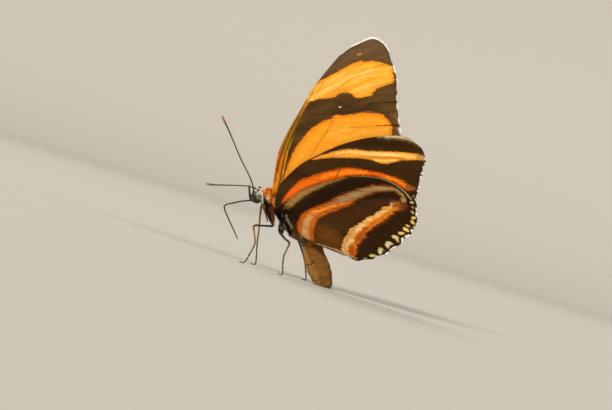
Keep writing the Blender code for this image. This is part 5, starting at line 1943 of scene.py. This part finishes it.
def make_floor(settings):
    """A round pale floor that sweeps up into a wall on every side."""
    profile = [(INNER_RING * FLOOR_RADIUS, 0.0), (FLOOR_RADIUS, 0.0)]
    for part in range(1, SWEEP_RINGS + 1):
        angle = part / SWEEP_RINGS * math.pi / 2
        profile.append((
            FLOOR_RADIUS + SWEEP_RADIUS * math.sin(angle), SWEEP_RADIUS * (1 - math.cos(angle)),
        ))
    profile.append((FLOOR_RADIUS + SWEEP_RADIUS, WALL_HEIGHT))
    verts = [(0.0, 0.0, 0.0)]
    for radius, height in profile:
        for spoke in range(FLOOR_SPOKES):
            angle = spoke / FLOOR_SPOKES * 2 * math.pi
            verts.append((radius * math.cos(angle), radius * math.sin(angle), height))
    faces = [(0, 1 + spoke, 1 + (spoke + 1) % FLOOR_SPOKES) for spoke in range(FLOOR_SPOKES)]
    for ring in range(len(profile) - 1):
        for spoke in range(FLOOR_SPOKES):
            here = 1 + ring * FLOOR_SPOKES + spoke
            after = 1 + ring * FLOOR_SPOKES + (spoke + 1) % FLOOR_SPOKES
            faces.append((here, here + FLOOR_SPOKES, after + FLOOR_SPOKES, after))
    mesh = bpy.data.meshes.new("studio_floor")
    mesh.from_pydata(verts, [], faces)
    mesh.shade_smooth()
    floor = add_piece("studio_floor", mesh)
    paper = new_material("matt studio paper", {
        "Base Color": tuple(settings.floor_colour), "Roughness": 0.9, "Specular IOR Level": 0.1,
    })
    mesh.materials.append(paper[0])


def aim(thing, target):
    """Turns a light to face a place."""
    heading = Vector(target) - thing.location
    thing.rotation_euler = heading.to_track_quat("-Z", "Y").to_euler()


def make_lights(settings):
    """Three wide soft lights, and a pale sky for the shadows."""
    for name, place, width, share, tint in LIGHTS:
        lamp = bpy.data.lights.new(name, "SUN")
        lamp.energy = settings.key_strength * share
        lamp.angle = math.radians(width)
        lamp.color = colour(tint)[:3]
        holder = bpy.data.objects.new(name, lamp)
        holder.location = place
        bpy.context.scene.collection.objects.link(holder)
        aim(holder, (0.0, 0.0, 0.0))
    world = bpy.data.worlds.new("pale studio")
    world.use_nodes = True
    sky = world.node_tree.nodes["Background"]
    sky.inputs["Color"].default_value = colour("#F6F4F0")
    sky.inputs["Strength"].default_value = WORLD_STRENGTH
    bpy.context.scene.world = world


def make_camera(settings):
    """Looks level along the Y axis, turned about it by the body's pitch."""
    camera = bpy.data.cameras.new("camera")
    camera.sensor_width = SENSOR_WIDTH
    camera.lens = settings.lens
    camera.clip_start = 0.01
    camera.clip_end = 20.0
    wide = VIEW_WIDE * MM_PER_PIXEL
    away = settings.lens / SENSOR_WIDTH * wide
    x, z = on_wing((VIEW_WIDE / 2, VIEW_HIGH / 2))
    right = Vector((math.cos(BODY_PITCH), 0.0, math.sin(BODY_PITCH)))
    up = Vector((-math.sin(BODY_PITCH), 0.0, math.cos(BODY_PITCH)))
    back = right.cross(up)
    turn = Matrix((right, up, back)).transposed().to_4x4()
    middle = Vector(in_frame((x, WING_PLANE_Y, z)))
    holder = bpy.data.objects.new("camera", camera)
    holder.matrix_world = Matrix.Translation(middle + back * away * MM) @ turn
    bpy.context.scene.collection.objects.link(holder)
    bpy.context.scene.camera = holder


class BUTTERFLY_PT_panel(bpy.types.Panel):
    """Lists the steps that build the butterfly"""

    bl_idname = "BUTTERFLY_PT_panel"
    bl_label = "Butterfly"
    bl_space_type = "VIEW_3D"
    bl_region_type = "UI"
    bl_category = "Butterfly"

    def draw(self, context):
        """Shows a button for each step."""
        column = self.layout.column()
        for step in STEPS:
            column.operator(step.bl_idname)


STEPS = (
    BUTTERFLY_OT_stage, BUTTERFLY_OT_forewings, BUTTERFLY_OT_hindwings, BUTTERFLY_OT_fringes,
    BUTTERFLY_OT_body, BUTTERFLY_OT_eyes, BUTTERFLY_OT_feelers, BUTTERFLY_OT_legs,
)
GROUPS = {
    "butterfly_wings": WingSettings, "butterfly_coat": CoatSettings, "butterfly_stage": StageSettings,
}


def register():
    """Registers every class, and the settings on the scene."""
    for made in (*GROUPS.values(), *STEPS, BUTTERFLY_PT_panel):
        bpy.utils.register_class(made)
    for name, group in GROUPS.items():
        setattr(bpy.types.Scene, name, bpy.props.PointerProperty(type=group))


def unregister():
    """Takes the settings and the classes away again."""
    for name in GROUPS:
        delattr(bpy.types.Scene, name)
    for made in (BUTTERFLY_PT_panel, *reversed(STEPS), *reversed(GROUPS.values())):
        bpy.utils.unregister_class(made)


def main():
    """Builds the stage and every piece in order."""
    register()
    bpy.ops.butterfly.stage()
    bpy.ops.butterfly.forewings()
    bpy.ops.butterfly.hindwings()
    bpy.ops.butterfly.fringes()
    bpy.ops.butterfly.body()
    bpy.ops.butterfly.eyes()
    bpy.ops.butterfly.feelers()
    bpy.ops.butterfly.legs()
    bpy.data.objects.remove(bpy.data.objects["tuft"], do_unlink=True)


if __name__ == "__main__":
    main()
